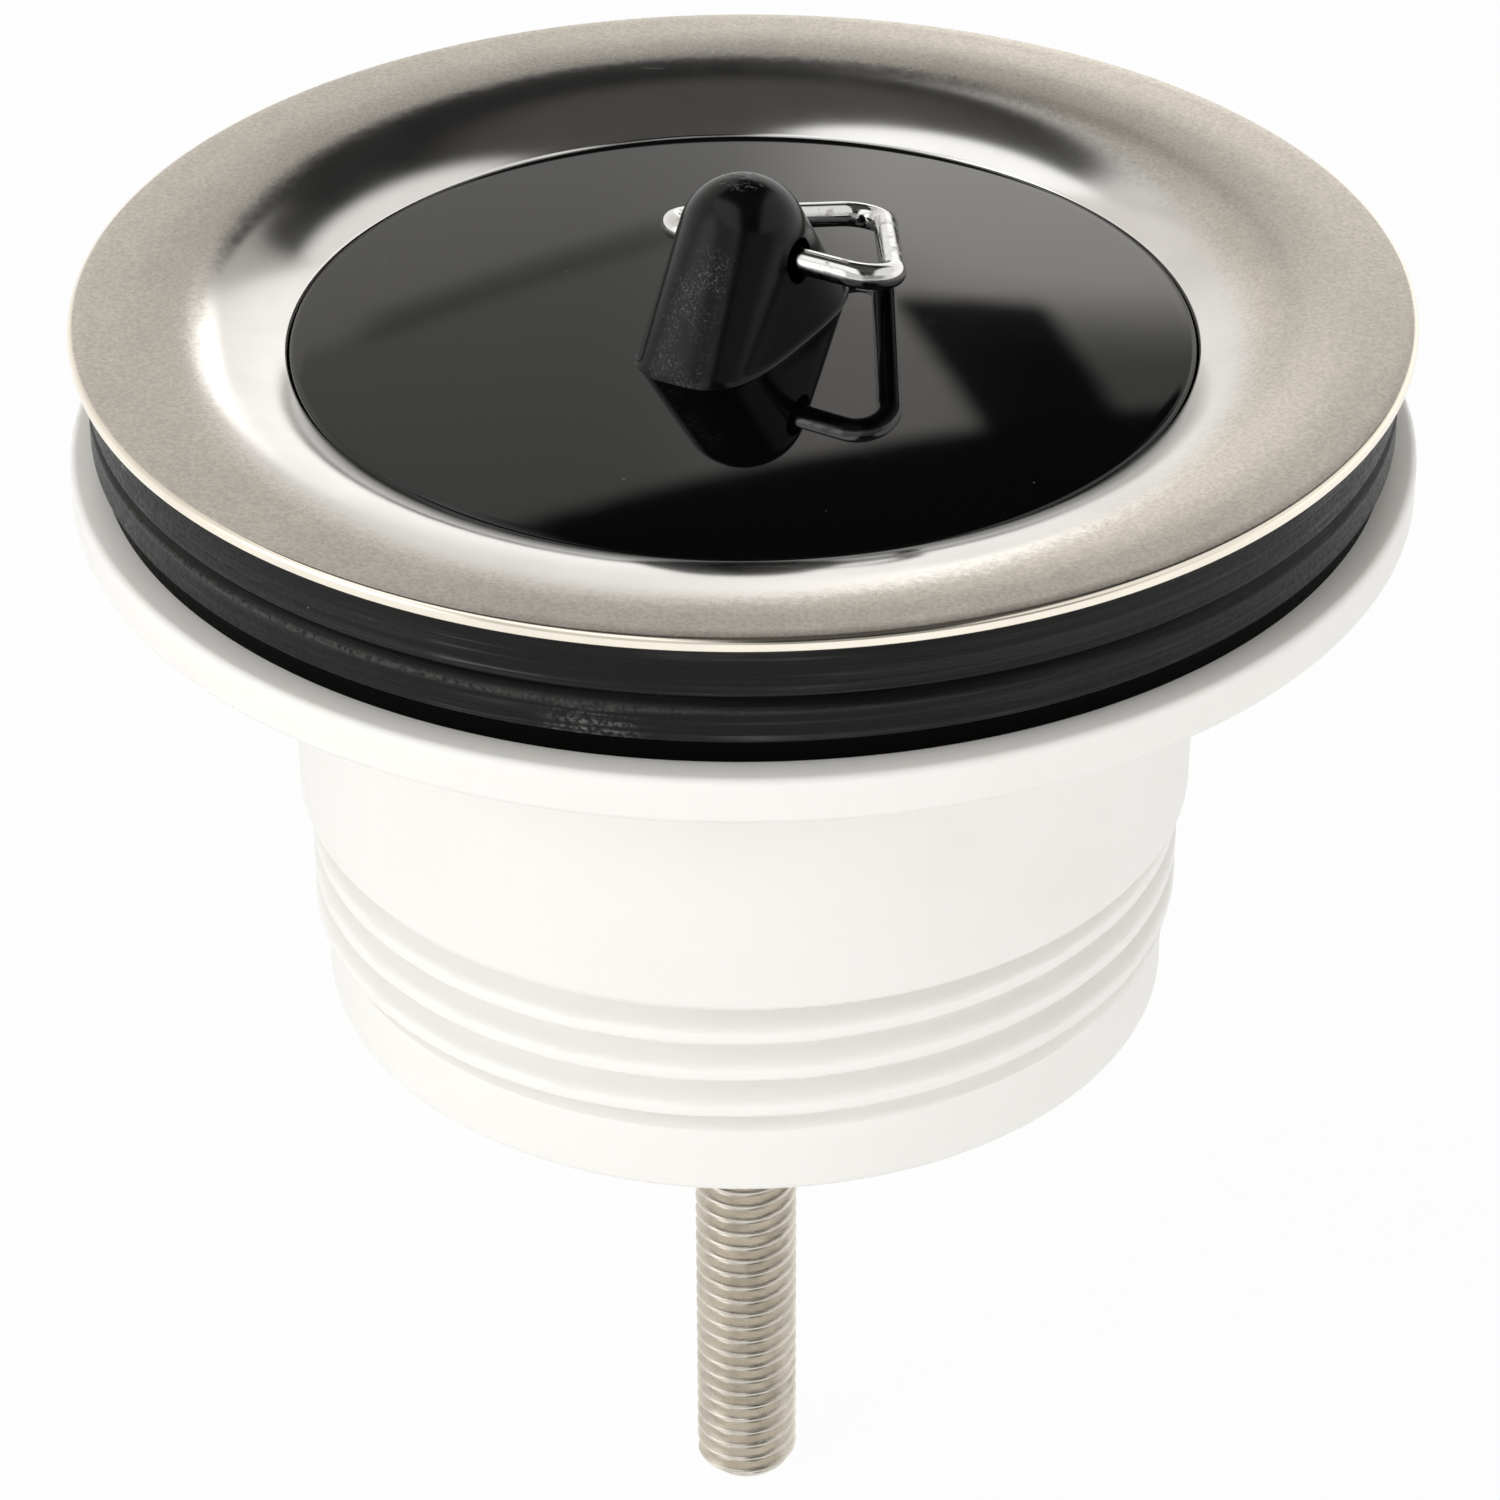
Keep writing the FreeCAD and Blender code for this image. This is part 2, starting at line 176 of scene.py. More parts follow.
def cappedFaces(rows, columns):
    # Quads of a grid whose rows climb round an axis, with one flat face to close each end
    ring = np.arange(columns)
    return gridFaces(rows, columns).tolist() + [ring[::-1].tolist(), (ring + (rows - 1) * columns).tolist()]


def cutAway(piece, points, faces, sharpAngle=creaseAngle):
    # The piece less a closed cutter, which is not kept
    cutter = addObject("cutter", newMesh("cutter", points, faces))
    tool = piece.modifiers.new("cut", "BOOLEAN")
    tool.operation, tool.solver, tool.object = "DIFFERENCE", "EXACT", cutter
    bpy.context.view_layer.update()
    done = bpy.data.meshes.new_from_object(piece.evaluated_get(bpy.context.evaluated_depsgraph_get()))
    piece.modifiers.clear()
    bpy.data.objects.remove(cutter)
    piece.data = done
    smoothShade(done, sharpAngle)


def prism(outlines, bottom, top):
    # Flat outlines, each drawn against the clock, raised from one height to another and closed
    points, faces = [], []
    for flat in outlines:
        count, base = len(flat), sum(len(p) for p in points)
        points.append(np.concatenate([np.c_[flat, np.full(count, bottom)], np.c_[flat, np.full(count, top)]]))
        ring = np.arange(count)
        side = np.stack([ring, (ring + 1) % count, (ring + 1) % count + count, ring + count], -1) + base
        faces += [list(ring[::-1] + base), list(ring + count + base)] + side.tolist()
    return np.concatenate(points), faces


# Material helpers

class Graph:
    # A node tree emptied and given short ways to add nodes
    def __init__(self, tree):
        self.tree = tree
        tree.nodes.clear()

    def add(self, kind, inputs=None, **settings):
        node = self.tree.nodes.new(kind)
        for key, value in settings.items():
            setattr(node, key, value)
        for key, value in (inputs or {}).items():
            self.feed(node.inputs[key], value)
        return node

    def feed(self, socket, value):
        if isinstance(value, bpy.types.NodeSocket):
            self.tree.links.new(value, socket)
        elif value is not None:
            socket.default_value = value

    def scaled(self, vector, factors):
        node = self.add("ShaderNodeVectorMath", {0: vector, 1: factors}, operation="MULTIPLY")
        return node.outputs[0]

    def math(self, operation, a, b=0.0):
        return self.add("ShaderNodeMath", {0: a, 1: b}, operation=operation).outputs[0]

    def times(self, first, *others):
        for other in others:
            first = self.math("MULTIPLY", first, other)
        return first

    def apart(self, a, b, place):
        # Distance from a place in the plane of two coordinates
        squares = [self.math("POWER", self.math("SUBTRACT", v, p), 2.0) for v, p in zip((a, b), place)]
        return self.math("SQRT", self.math("ADD", *squares))

    def ramp(self, value, low, high, start=0.0, end=1.0, smooth=True):
        node = self.add("ShaderNodeMapRange", {"Value": value, "From Min": low, "From Max": high,
                                               "To Min": start, "To Max": end})
        node.interpolation_type = "SMOOTHSTEP" if smooth else "LINEAR"
        return node.outputs[0]

    def mix(self, factor, a, b):
        # Of the node's sockets, 6 and 7 are its two colours and 2 is the colour that comes out
        node = self.add("ShaderNodeMix", data_type="RGBA")
        self.feed(node.inputs[0], factor)
        self.feed(node.inputs[6], a)
        self.feed(node.inputs[7], b)
        return node.outputs[2]

    def shaded(self, color, shade):
        return self.add("ShaderNodeVectorMath", {0: color, "Scale": shade}, operation="SCALE").outputs[0]


class Finish(Graph):
    # A node material with one principled shader, its textures placed in millimetres
    def __init__(self, name):
        self.material = bpy.data.materials.new(name)
        self.material.use_nodes = True
        super().__init__(self.material.node_tree)
        self.shader = self.add("ShaderNodeBsdfPrincipled")
        self.output = self.add("ShaderNodeOutputMaterial", {0: self.shader.outputs[0]})
        self.place = self.scaled(self.add("ShaderNodeTexCoord").outputs["Object"], (1 / mm,) * 3)

    def set(self, **inputs):
        for key, value in inputs.items():
            self.feed(self.shader.inputs[key.replace("_", " ")], value)

    def noise(self, scale, detail=3.0, stretch=(1, 1, 1), roughness=0.55, seed=0.0):
        vector = self.scaled(self.place, stretch)
        node = self.add("ShaderNodeTexNoise", {"Vector": vector, "W": seed, "Scale": scale, "Detail": detail,
                                               "Roughness": roughness}, noise_dimensions="4D")
        return node.outputs[0]

    def axes(self):
        # Distance from the upright axis, angle round it in radians, height, and the two flat coordinates
        parts = self.add("ShaderNodeSeparateXYZ", {0: self.place})
        flat = self.scaled(self.place, (1, 1, 0))
        radius = self.add("ShaderNodeVectorMath", {0: flat}, operation="LENGTH").outputs["Value"]
        angle = self.math("ARCTAN2", parts.outputs[1], parts.outputs[0])
        return radius, angle, parts.outputs[2], parts.outputs[0], parts.outputs[1]

    def bump(self, height, depth, under=None):
        # Height in millimetres once it is multiplied by the depth
        node = self.add("ShaderNodeBump", {"Height": height, "Distance": depth * mm, "Strength": 1.0,
                                           "Normal": under})
        return node.outputs[0]


def rgb(red, green, blue):
    return (red, green, blue, 1.0)


# Pressed steel of the flange and the cup. A Span is the stretch of a noise over which its mark comes in
steelLook = {
    "satinColor": rgb(0.76, 0.707, 0.638), "polishedLitColor": rgb(0.83, 0.82, 0.80),
    "rimHighlightColor": rgb(0.98, 0.91, 0.79), "satinRough": 0.30, "brightRough": 0.15, "cloudRough": 0.10,
    "edgeRadius": 28.8, "edgeOval": 1.6, "litFrontReach": 0.9, "litLeftReach": 1.2, "edgeBlur": 1.1, "edgeFray": 2.4,
    "rimFrom": 34.70, "rimBlur": 0.12,
    "grain": dict(scale=4.5, detail=4.0, roughness=0.65), "cloud": dict(scale=0.16, seed=3.0),
    "fray": dict(scale=2.2, detail=5.0, seed=5.0, roughness=0.65),
    "hairs": dict(scale=1.0, detail=2.0, stretch=(0.25, 9.0, 1.0), seed=8.0),
    "hairsAcross": dict(scale=1.0, detail=2.0, stretch=(7.0, 0.3, 1.0), seed=11.0),
    "grainSpan": (0.30, 0.70), "speckle": (-0.16, 0.13), "cloudSpan": (0.3, 0.7), "cloudShade": (0.95, 1.04),
    "hairSpan": (0.70, 0.78), "acrossSpan": (0.72, 0.80), "brightGrain": 0.15,
    "grainDepth": 0.0035, "scratchDepth": 0.002}


def steelFinish():
    # Satin outside, polished towards the throat with a grainy border that lies further out at the front
    # and on the left, as painted light where the throat shows the light's reflection; a bright rim whose
    # cream colour is a painted highlight on its round; grain and hair scratches in the bump
    look, f = steelLook, Finish("pressedSteel")
    radius, angle = f.axes()[:2]
    grain = f.noise(**look["grain"])
    cloud = f.noise(**look["cloud"])
    fray = f.times(f.math("SUBTRACT", f.noise(**look["fray"]), 0.5), look["edgeFray"])
    # painted light: the bright polished colour is pushed further out at the front and on the left, where the
    # throat reflects the light
    oval = f.times(f.math("COSINE", f.times(angle, 2.0)), look["edgeOval"])
    ahead = f.times(f.math("SINE", angle), look["litFrontReach"])
    aside = f.times(f.math("COSINE", angle), look["litLeftReach"])
    border = f.math("ADD", f.math("ADD", radius, fray), f.math("ADD", oval, f.math("ADD", ahead, aside)))
    satin = f.ramp(border, look["edgeRadius"] - look["edgeBlur"], look["edgeRadius"] + look["edgeBlur"])
    # painted highlight: the rim's round takes a bright cream colour; its low roughness is a polished edge
    edge = f.ramp(radius, look["rimFrom"], look["rimFrom"] + look["rimBlur"])
    satin = f.times(satin, f.math("SUBTRACT", 1.0, edge))
    color = f.mix(edge, f.mix(satin, look["polishedLitColor"], look["satinColor"]), look["rimHighlightColor"])
    speckle = f.math("ADD", 1.0, f.times(f.ramp(grain, *look["grainSpan"], *look["speckle"]), satin))
    tinted = f.shaded(color, f.times(speckle, f.ramp(cloud, *look["cloudSpan"], *look["cloudShade"])))
    scratch = f.math("MAXIMUM", f.ramp(f.noise(**look["hairs"]), *look["hairSpan"]),
                     f.ramp(f.noise(**look["hairsAcross"]), *look["acrossSpan"]))
    rough = f.math("ADD", f.ramp(satin, 0, 1, look["brightRough"], look["satinRough"], False),
                   f.times(f.math("SUBTRACT", cloud, 0.5), look["cloudRough"]))
    first = f.bump(f.times(grain, f.ramp(satin, 0, 1, look["brightGrain"], 1.0)), look["grainDepth"])
    f.set(Base_Color=tinted, Metallic=1.0, Roughness=rough,
          Normal=f.bump(scratch, -look["scratchDepth"], first))
    return f.material


# Black rubber of the seals
rubberLook = {
    "color": rgb(0.003, 0.0029, 0.0028), "lineColor": rgb(0.015, 0.0143, 0.014),
    "dustAndLitColor": rgb(0.15, 0.145, 0.14), "footCleanAndShadeColor": rgb(0.001, 0.001, 0.001),
    "lines": dict(scale=1.0, detail=4.0, stretch=(0.05, 0.05, 3.4), seed=2.0, roughness=0.6),
    "grain": dict(scale=4.0, seed=4.0), "patch": dict(scale=0.13, detail=2.0, seed=9.0),
    "specks": dict(scale=1.7, detail=1.0, seed=17.0),
    "lineSpan": (0.42, 0.70), "speckSpan": (0.78, 0.81), "roughSpan": (0.3, 0.7),
    "patchSpan": (0.52, 0.70), "patchLines": (0.50, 0.72), "dustAndLitShare": 0.45,
    "scuffPlace": (-7.2, -33.4), "scuffReach": (3.2, 0.3), "scuffTop": 2.2, "scuffFull": 0.3,
    "scuffLines": (0.42, 0.60), "scuffGrain": (0.42, 0.62), "scuffGain": 2.4,
    "shoulder": (-0.98, -0.80, -0.70, -0.50), "shoulderLitSide": (8.0, -16.0), "wornGrain": (0.34, 0.62),
    "wornAndLitShare": 0.7, "footBlur": 0.06, "sheen": 0.19, "footShadeSheen": 0.03, "rough": (0.36, 0.54),
    "lineDepth": 0.035, "grainShare": 0.25}


def rubberFinish(footTop):
    # Fine level lines from the mould, dusty rubbed patches, a worn shoulder lightened towards the left
    # as a painted highlight, a scuff at the front left and a few specks; the strip at the foot is smooth
    # and clean, painted darker and duller still as shade of the undercut
    look, f = rubberLook, Finish("sealRubber")
    height, x, y = f.axes()[2:]
    lines = f.noise(**look["lines"])
    grain = f.noise(**look["grain"])
    patch = f.ramp(f.noise(**look["patch"]), *look["patchSpan"])
    scuff = f.times(f.ramp(f.apart(x, y, look["scuffPlace"]), *look["scuffReach"]),
                    f.ramp(height, footTop + look["scuffTop"], footTop + look["scuffFull"]))
    rubbed = f.math("MAXIMUM", f.times(patch, f.ramp(lines, *look["patchLines"])),
                    f.times(scuff, look["scuffGain"], f.ramp(lines, *look["scuffLines"]),
                            f.ramp(grain, *look["scuffGrain"])))
    # painted highlight: the worn shoulder is lightened more on the left, the side the light comes from, as
    # well as worn in the grain
    low, lowFull, highFull, high = look["shoulder"]
    worn = f.times(f.ramp(height, low, lowFull), f.ramp(height, high, highFull),
                   f.ramp(x, *look["shoulderLitSide"]), f.ramp(grain, *look["wornGrain"]))
    rubbed = f.math("MAXIMUM", rubbed, f.times(worn, look["wornAndLitShare"]))
    specks = f.ramp(f.noise(**look["specks"]), *look["speckSpan"])
    # painted shade: below this height the foot takes a darker clean colour and less sheen, standing in for
    # the shade of the undercut
    aboveFootShade = f.ramp(height, footTop - look["footBlur"], footTop + look["footBlur"])
    color = f.mix(f.ramp(lines, *look["lineSpan"]), look["color"], look["lineColor"])
    dusty = f.mix(f.math("MAXIMUM", f.times(rubbed, look["dustAndLitShare"]), specks), color, look["dustAndLitColor"])
    marks = f.times(f.math("ADD", lines, f.times(grain, look["grainShare"])), aboveFootShade)
    f.set(Base_Color=f.mix(aboveFootShade, look["footCleanAndShadeColor"], dusty),
          Roughness=f.ramp(grain, *look["roughSpan"], *look["rough"]),
          Specular_IOR_Level=f.ramp(aboveFootShade, 0, 1, look["footShadeSheen"], look["sheen"], False),
          Normal=f.bump(marks, look["lineDepth"]))
    return f.material


# White moulded plastic of the tail
plasticLook = {
    "color": rgb(0.86, 0.852, 0.832), "warmColor": rgb(0.80, 0.785, 0.75), "rough": (0.31, 0.42),
    "cloud": dict(scale=0.12, seed=1.0), "peel": dict(scale=1.6, detail=2.0, seed=6.0),
    "cloudSpan": (0.45, 0.80), "cloudShare": (0.0, 0.35), "peelSpan": (0.3, 0.7), "peelDepth": 0.006,
    "glowShare": 0.35, "glowReach": (1.0, 0.95, 0.85), "glowDepth": 1.4}


def plasticFinish():
    # Satin moulding that lets a little light in: faint flow clouds of a warmer white and a fine orange peel
    look, f = plasticLook, Finish("tailPlastic")
    peel = f.noise(**look["peel"])
    warm = f.ramp(f.noise(**look["cloud"]), *look["cloudSpan"], *look["cloudShare"])
    f.set(Base_Color=f.mix(warm, look["color"], look["warmColor"]),
          Roughness=f.ramp(peel, *look["peelSpan"], *look["rough"]), Normal=f.bump(peel, look["peelDepth"]),
          Subsurface_Weight=look["glowShare"], Subsurface_Radius=look["glowReach"],
          Subsurface_Scale=look["glowDepth"] * mm)
    return f.material


# Gloss black of the plug's disc
glossLook = {
    "color": rgb(0.0012, 0.0016, 0.002), "speckColor": rgb(0.10, 0.10, 0.10), "rough": (0.03, 0.055),
    "rubs": dict(scale=0.5, detail=4.0, stretch=(0.8, 1.0, 1.0), seed=3.0), "rubSpan": (0.60, 0.80),
    "specks": dict(scale=2.6, detail=1.0, seed=12.0), "speckSpan": (0.80, 0.83),
    "waves": dict(scale=0.2, detail=1.0, seed=7.0), "waveDepth": 0.002}


def glossFinish():
    # Polished moulding with a few faint rubs, dust specks and slight waves
    look, f = glossLook, Finish("discGloss")
    rubs = f.ramp(f.noise(**look["rubs"]), *look["rubSpan"])
    specks = f.ramp(f.noise(**look["specks"]), *look["speckSpan"])
    f.set(Base_Color=f.mix(specks, look["color"], look["speckColor"]),
          Roughness=f.ramp(rubs, 0, 1, *look["rough"], False),
          Normal=f.bump(f.noise(**look["waves"]), look["waveDepth"]))
    return f.material


# Semi gloss black of the knob
knobLook = {
    "color": rgb(0.002, 0.002, 0.0024), "scuffColor": rgb(0.19, 0.187, 0.183), "rough": 0.20, "sheen": 0.26,
    "faceRight": (1.9, 0.7), "faceLeft": (-2.2, -0.4), "faceFront": (-1.2, -2.6),
    "faceTop": 1.8, "faceFull": 4.0, "scuffShare": 0.7, "scuffRough": 0.3,
    "cloud": dict(scale=0.7, seed=5.0), "cloudSpan": (0.38, 0.62),
    "fine": dict(scale=7.0, detail=4.0, seed=3.0, roughness=0.75), "fineSpan": (0.50, 0.68),
    "pits": dict(scale=3.2, detail=2.0, seed=6.0), "pitSpan": (0.55, 0.66), "pitReach": (1.3, 0.65),
    "pitLow": 1.0, "pitFull": 0.5, "pitDepth": 0.12, "skin": dict(scale=2.0, seed=8.0), "skinDepth": 0.004}


def knobFinish(topHeight, heading):
    # Speckled scuff on the face towards the front, and small moulding pits on the very top
    look, f = knobLook, Finish("knobBlack")
    radius, _, height, x, y = f.axes()
    along = f.math("ADD", f.times(x, math.cos(heading)), f.times(y, math.sin(heading)))
    across = f.math("SUBTRACT", f.times(x, math.sin(heading)), f.times(y, math.cos(heading)))
    face = f.times(f.ramp(across, *look["faceRight"]), f.ramp(across, *look["faceLeft"]),
                   f.ramp(along, *look["faceFront"]))
    front = f.times(face, f.ramp(height, topHeight - look["faceTop"], topHeight - look["faceFull"]),
                    f.ramp(f.noise(**look["cloud"]), *look["cloudSpan"]))
    scuff = f.times(front, f.ramp(f.noise(**look["fine"]), *look["fineSpan"]))
    pits = f.times(f.ramp(radius, *look["pitReach"]), f.ramp(f.noise(**look["pits"]), *look["pitSpan"]),
                   f.ramp(height, topHeight - look["pitLow"], topHeight - look["pitFull"]))
    f.set(Base_Color=f.mix(f.times(scuff, look["scuffShare"]), look["color"], look["scuffColor"]),
          Roughness=f.math("ADD", look["rough"], f.times(scuff, look["scuffRough"])),
          Normal=f.bump(pits, -look["pitDepth"], f.bump(f.noise(**look["skin"]), look["skinDepth"])),
          Specular_IOR_Level=look["sheen"])
    return f.material


# Bright rolled steel of the screw
screwLook = {
    "color": (0.74, 0.69, 0.61), "rough": (0.20, 0.38), "roughSpan": (0.3, 0.7), "lineDepth": 0.006,
    "lines": dict(scale=1.0, detail=2.0, stretch=(0.4, 0.4, 14.0), seed=2.0),
    "stain": dict(scale=0.7, detail=4.0, seed=5.0), "stainSpan": (0.40, 0.75), "stainShade": (1.0, 0.80)}


def screwFinish():
    # Rolled steel with fine lines along the turns and small stains
    look, f = screwLook, Finish("screwSteel")
    lines = f.noise(**look["lines"])
    shade = f.ramp(f.noise(**look["stain"]), *look["stainSpan"], *look["stainShade"])
    f.set(Base_Color=f.shaded(look["color"], shade), Metallic=1.0,
          Roughness=f.ramp(lines, *look["roughSpan"], *look["rough"]),
          Normal=f.bump(lines, look["lineDepth"]))
    return f.material


# Bright drawn wire of the link
wireLook = {
    "color": rgb(0.80, 0.80, 0.79), "dullColor": rgb(0.45, 0.44, 0.42), "rough": (0.09, 0.31),
    "spots": dict(scale=1.4, detail=4.0, seed=4.0), "dullSpan": (0.56, 0.72), "roughSpan": (0.45, 0.75),
    "skin": dict(scale=5.0, detail=2.0, seed=7.0), "skinDepth": 0.002}


def wireFinish():
    # Drawn wire: faint dull spots on a bright skin
    look, f = wireLook, Finish("linkWire")
    spots = f.noise(**look["spots"])
    f.set(Base_Color=f.mix(f.ramp(spots, *look["dullSpan"]), look["color"], look["dullColor"]), Metallic=1.0,
          Roughness=f.ramp(spots, *look["roughSpan"], *look["rough"]),
          Normal=f.bump(f.noise(**look["skin"]), look["skinDepth"]))
    return f.material


# Turned brass of the nut
brassLook = {
    "color": rgb(0.70, 0.52, 0.25), "dullColor": rgb(0.42, 0.29, 0.13), "rough": (0.28, 0.46),
    "cloud": dict(scale=0.6, detail=4.0, seed=3.0), "dullSpan": (0.4, 0.7), "roughSpan": (0.3, 0.7),
    "ringsPerMm": 5, "ringDepth": 0.003}


def brassFinish():
    # Turned rings on the faces, dulled in clouds
    look, f = brassLook, Finish("nutBrass")
    rings = f.math("SINE", f.times(f.axes()[0], turn * look["ringsPerMm"]))
    cloud = f.noise(**look["cloud"])
    f.set(Base_Color=f.mix(f.ramp(cloud, *look["dullSpan"]), look["color"], look["dullColor"]), Metallic=1.0,
          Roughness=f.ramp(cloud, *look["roughSpan"], *look["rough"]),
          Normal=f.bump(rings, look["ringDepth"]))
    return f.material


# Levels read from the frame
flangeHigh = lowHigh("flange_cup")[1]
upperLow, upperHigh = lowHigh("upper_seal")
lowerLow, lowerHigh = lowHigh("lower_seal")
tailLow, tailHigh = lowHigh("tail_body")
screwLow, screwHigh = lowHigh("centre_screw")
discLow = lowHigh("plug_disc")[0]
plugSealLow, plugSealHigh = lowHigh("plug_seal")
knobLow, knobHigh = lowHigh("plug_knob")

rimTop, rimUnder = flangeHigh[2], upperHigh[2]
flangeRadius, sealRadius, tailFlangeRadius = flangeHigh[0], upperHigh[0], tailHigh[0]

# The seals' sizes stand here because the rubber's finish needs the height of the foot
sealSizes = {"upperWidth": 5.6, "upperRound": 0.28, "lowerWidth": 8.2, "lowerBevel": 0.55,
             "bevelRound": 0.2, "footHeight": 1.35, "footStep": 0.45, "footRound": 0.1,
             "stepRound": 0.175, "step": 0.6, "steps": 360}
footTop = lowerLow[2] + sealSizes["footHeight"]

steel, rubber, plastic, gloss = steelFinish(), rubberFinish(footTop), plasticFinish(), glossFinish()
screwMetal, wireMetal, brass = screwFinish(), wireFinish(), brassFinish()
print("finishes made")

# Flange and cup
sheetSizes = {"flatWidth": 6.7, "throatBend": 4.93, "throatTurn": 64.0, "dishStart": 32.0, "dishMiddle": 30.5,
              "dishTurn": 2.5, "dishBend": 40.0, "lipStart": 29.4, "lipBend": 10.0, "lipTurn": 39.6,
              "lipTail": 0.05, "lipRound": 0.4, "neckDrop": 4.7, "neckRound": 0.6, "coneDepth": 6.8,
              "wallBend": 2.0, "wallTurn": 80.0, "floorBend": 1.2, "cupDepth": 9.2, "rimRound": 0.33,
              "dimpleRadius": 5.52, "dimpleRound": 0.25, "holeRadius": 3.25, "slotCount": 8, "slotWidth": 3.6,
              "slotFrom": 8.92, "slotTo": 17.75, "slotPoints": 18, "step": 0.8, "bendPoints": 8, "steps": 400}


def offsetCorners(corners, distance):
    # Each corner of an open run moved so that every straight part shifts sideways by the distance
    points = np.array(corners, float)
    way = np.diff(points, axis=0)
    way /= np.linalg.norm(way, axis=1, keepdims=True)
    aside = np.stack([-way[:, 1], way[:, 0]], -1)
    before, after = np.concatenate([aside[:1], aside]), np.concatenate([aside, aside[-1:]])
    return points + distance * (before + after) / (1 + (before * after).sum(1, keepdims=True))


def buildFlange():
    # Pressed sheet: the upper face's corners from rim to screw hole with a wide bend into the throat, the
    # same run one thickness below, turned, then eight round-ended slots cut through the floor
    s = sheetSizes
    thickness = rimTop - rimUnder
    throat, wall = math.radians(s["throatTurn"]), math.radians(s["wallTurn"])
    flatEnd = flangeRadius - s["flatWidth"]
    coneRun = s["throatBend"] * math.tan(throat / 2)
    coneTop = np.array([flatEnd - coneRun, rimTop])
    coneWay = np.array([-math.cos(throat), -math.sin(throat)])
    coneBottom = coneTop + coneWay * (s["coneDepth"] / math.sin(throat))
    coneBottom = coneBottom + coneWay * (s["wallBend"] * math.tan((wall - throat) / 2))
    floorTop = rimTop - s["cupDepth"]
    wallFoot = np.array([coneBottom[0] - (coneBottom[1] - floorTop) / math.tan(wall), floorTop])
    holeDrop = s["dimpleRadius"] - s["holeRadius"]
    lip, dish = math.radians(s["lipTurn"]), math.radians(s["dishTurn"])
    dishTop = np.array([s["dishStart"], rimTop])
    dishEnd = np.array([s["dishMiddle"], rimTop - (s["dishStart"] - s["dishMiddle"]) * math.tan(dish)])
    lipRun = s["lipBend"] * math.tan(lip / 2 - dish)
    lipFar = s["dishMiddle"] - s["lipStart"] + lipRun * math.cos(2 * dish)
    lipTop = dishEnd - lipFar * np.array([1, math.tan(2 * dish)])
    lipEnd = lipTop - (lipRun + s["lipTail"]) * np.array([math.cos(lip), math.sin(lip)])
    neck = coneTop + coneWay * (s["neckDrop"] / math.sin(throat))
    upper = [(flangeRadius, rimTop), dishTop, dishEnd, lipTop, lipEnd, neck, coneBottom, wallFoot,
             (s["dimpleRadius"], floorTop), (s["holeRadius"], floorTop - holeDrop)]
    lower = offsetCorners(upper, thickness)
    lower[-1] = upper[-1] + np.array([0, -thickness * math.sqrt(2)])
    rounds = np.array([s["rimRound"], s["dishBend"], s["dishBend"], s["lipBend"], s["lipRound"],
                       s["neckRound"], s["wallBend"], s["floorBend"], s["dimpleRound"], 0.0])
    bends = np.array([0, -1, -1, -1, -1, 1, -1, 1, 0, 0])
    under = rounds + bends * thickness
    corners = [(*p, r) for p, r in zip(upper, rounds)] + [(*p, r) for p, r in zip(lower, under)][::-1]
    loop = roundedLoop(corners, s["step"], s["bendPoints"])
    piece = turnedPiece("flangeSheet", loop, s["steps"], "flange", steel)
    cap = unitCircle(np.linspace(-math.pi / 2, math.pi / 2, s["slotPoints"])) * (s["slotWidth"] / 2)
    slot = np.concatenate([cap + (s["slotTo"], 0), -cap + (s["slotFrom"], 0)])
    outlines = [swung(slot, a) for a in ringAngles(s["slotCount"], 0.5)]
    cutAway(piece, *prism(outlines, floorTop - 2 * thickness, floorTop + thickness))
    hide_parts("flange_cup")


buildFlange()
print("flange built")


# Seals
def buildSeals():
    # Two turned rings: a plain one under the steel, a stepped one with a bevel on the tail
    s = sealSizes
    inner = sealRadius - s["upperWidth"]
    upper = [(inner, upperLow[2]), (sealRadius, upperLow[2], s["upperRound"]),
             (sealRadius, upperHigh[2], s["upperRound"]), (inner, upperHigh[2])]
    loop = roundedLoop(upper, s["step"])
    top = turnedPiece("sealUpper", loop, s["steps"], "flange", rubber)
    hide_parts("upper_seal")
    inner, foot = sealRadius - s["lowerWidth"], sealRadius - s["footStep"]
    lower = [(inner, lowerLow[2]), (foot, lowerLow[2], s["footRound"]), (foot, footTop, s["stepRound"]),
             (sealRadius, footTop, s["stepRound"]),
             (sealRadius, lowerHigh[2] - s["lowerBevel"], s["bevelRound"]),
             (sealRadius - s["lowerBevel"], lowerHigh[2], s["bevelRound"]), (inner, lowerHigh[2])]
    loop = roundedLoop(lower, s["step"])
    bottom = turnedPiece("sealLower", loop, s["steps"], "tail", rubber)
    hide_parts("lower_seal")


buildSeals()
print("seals built")

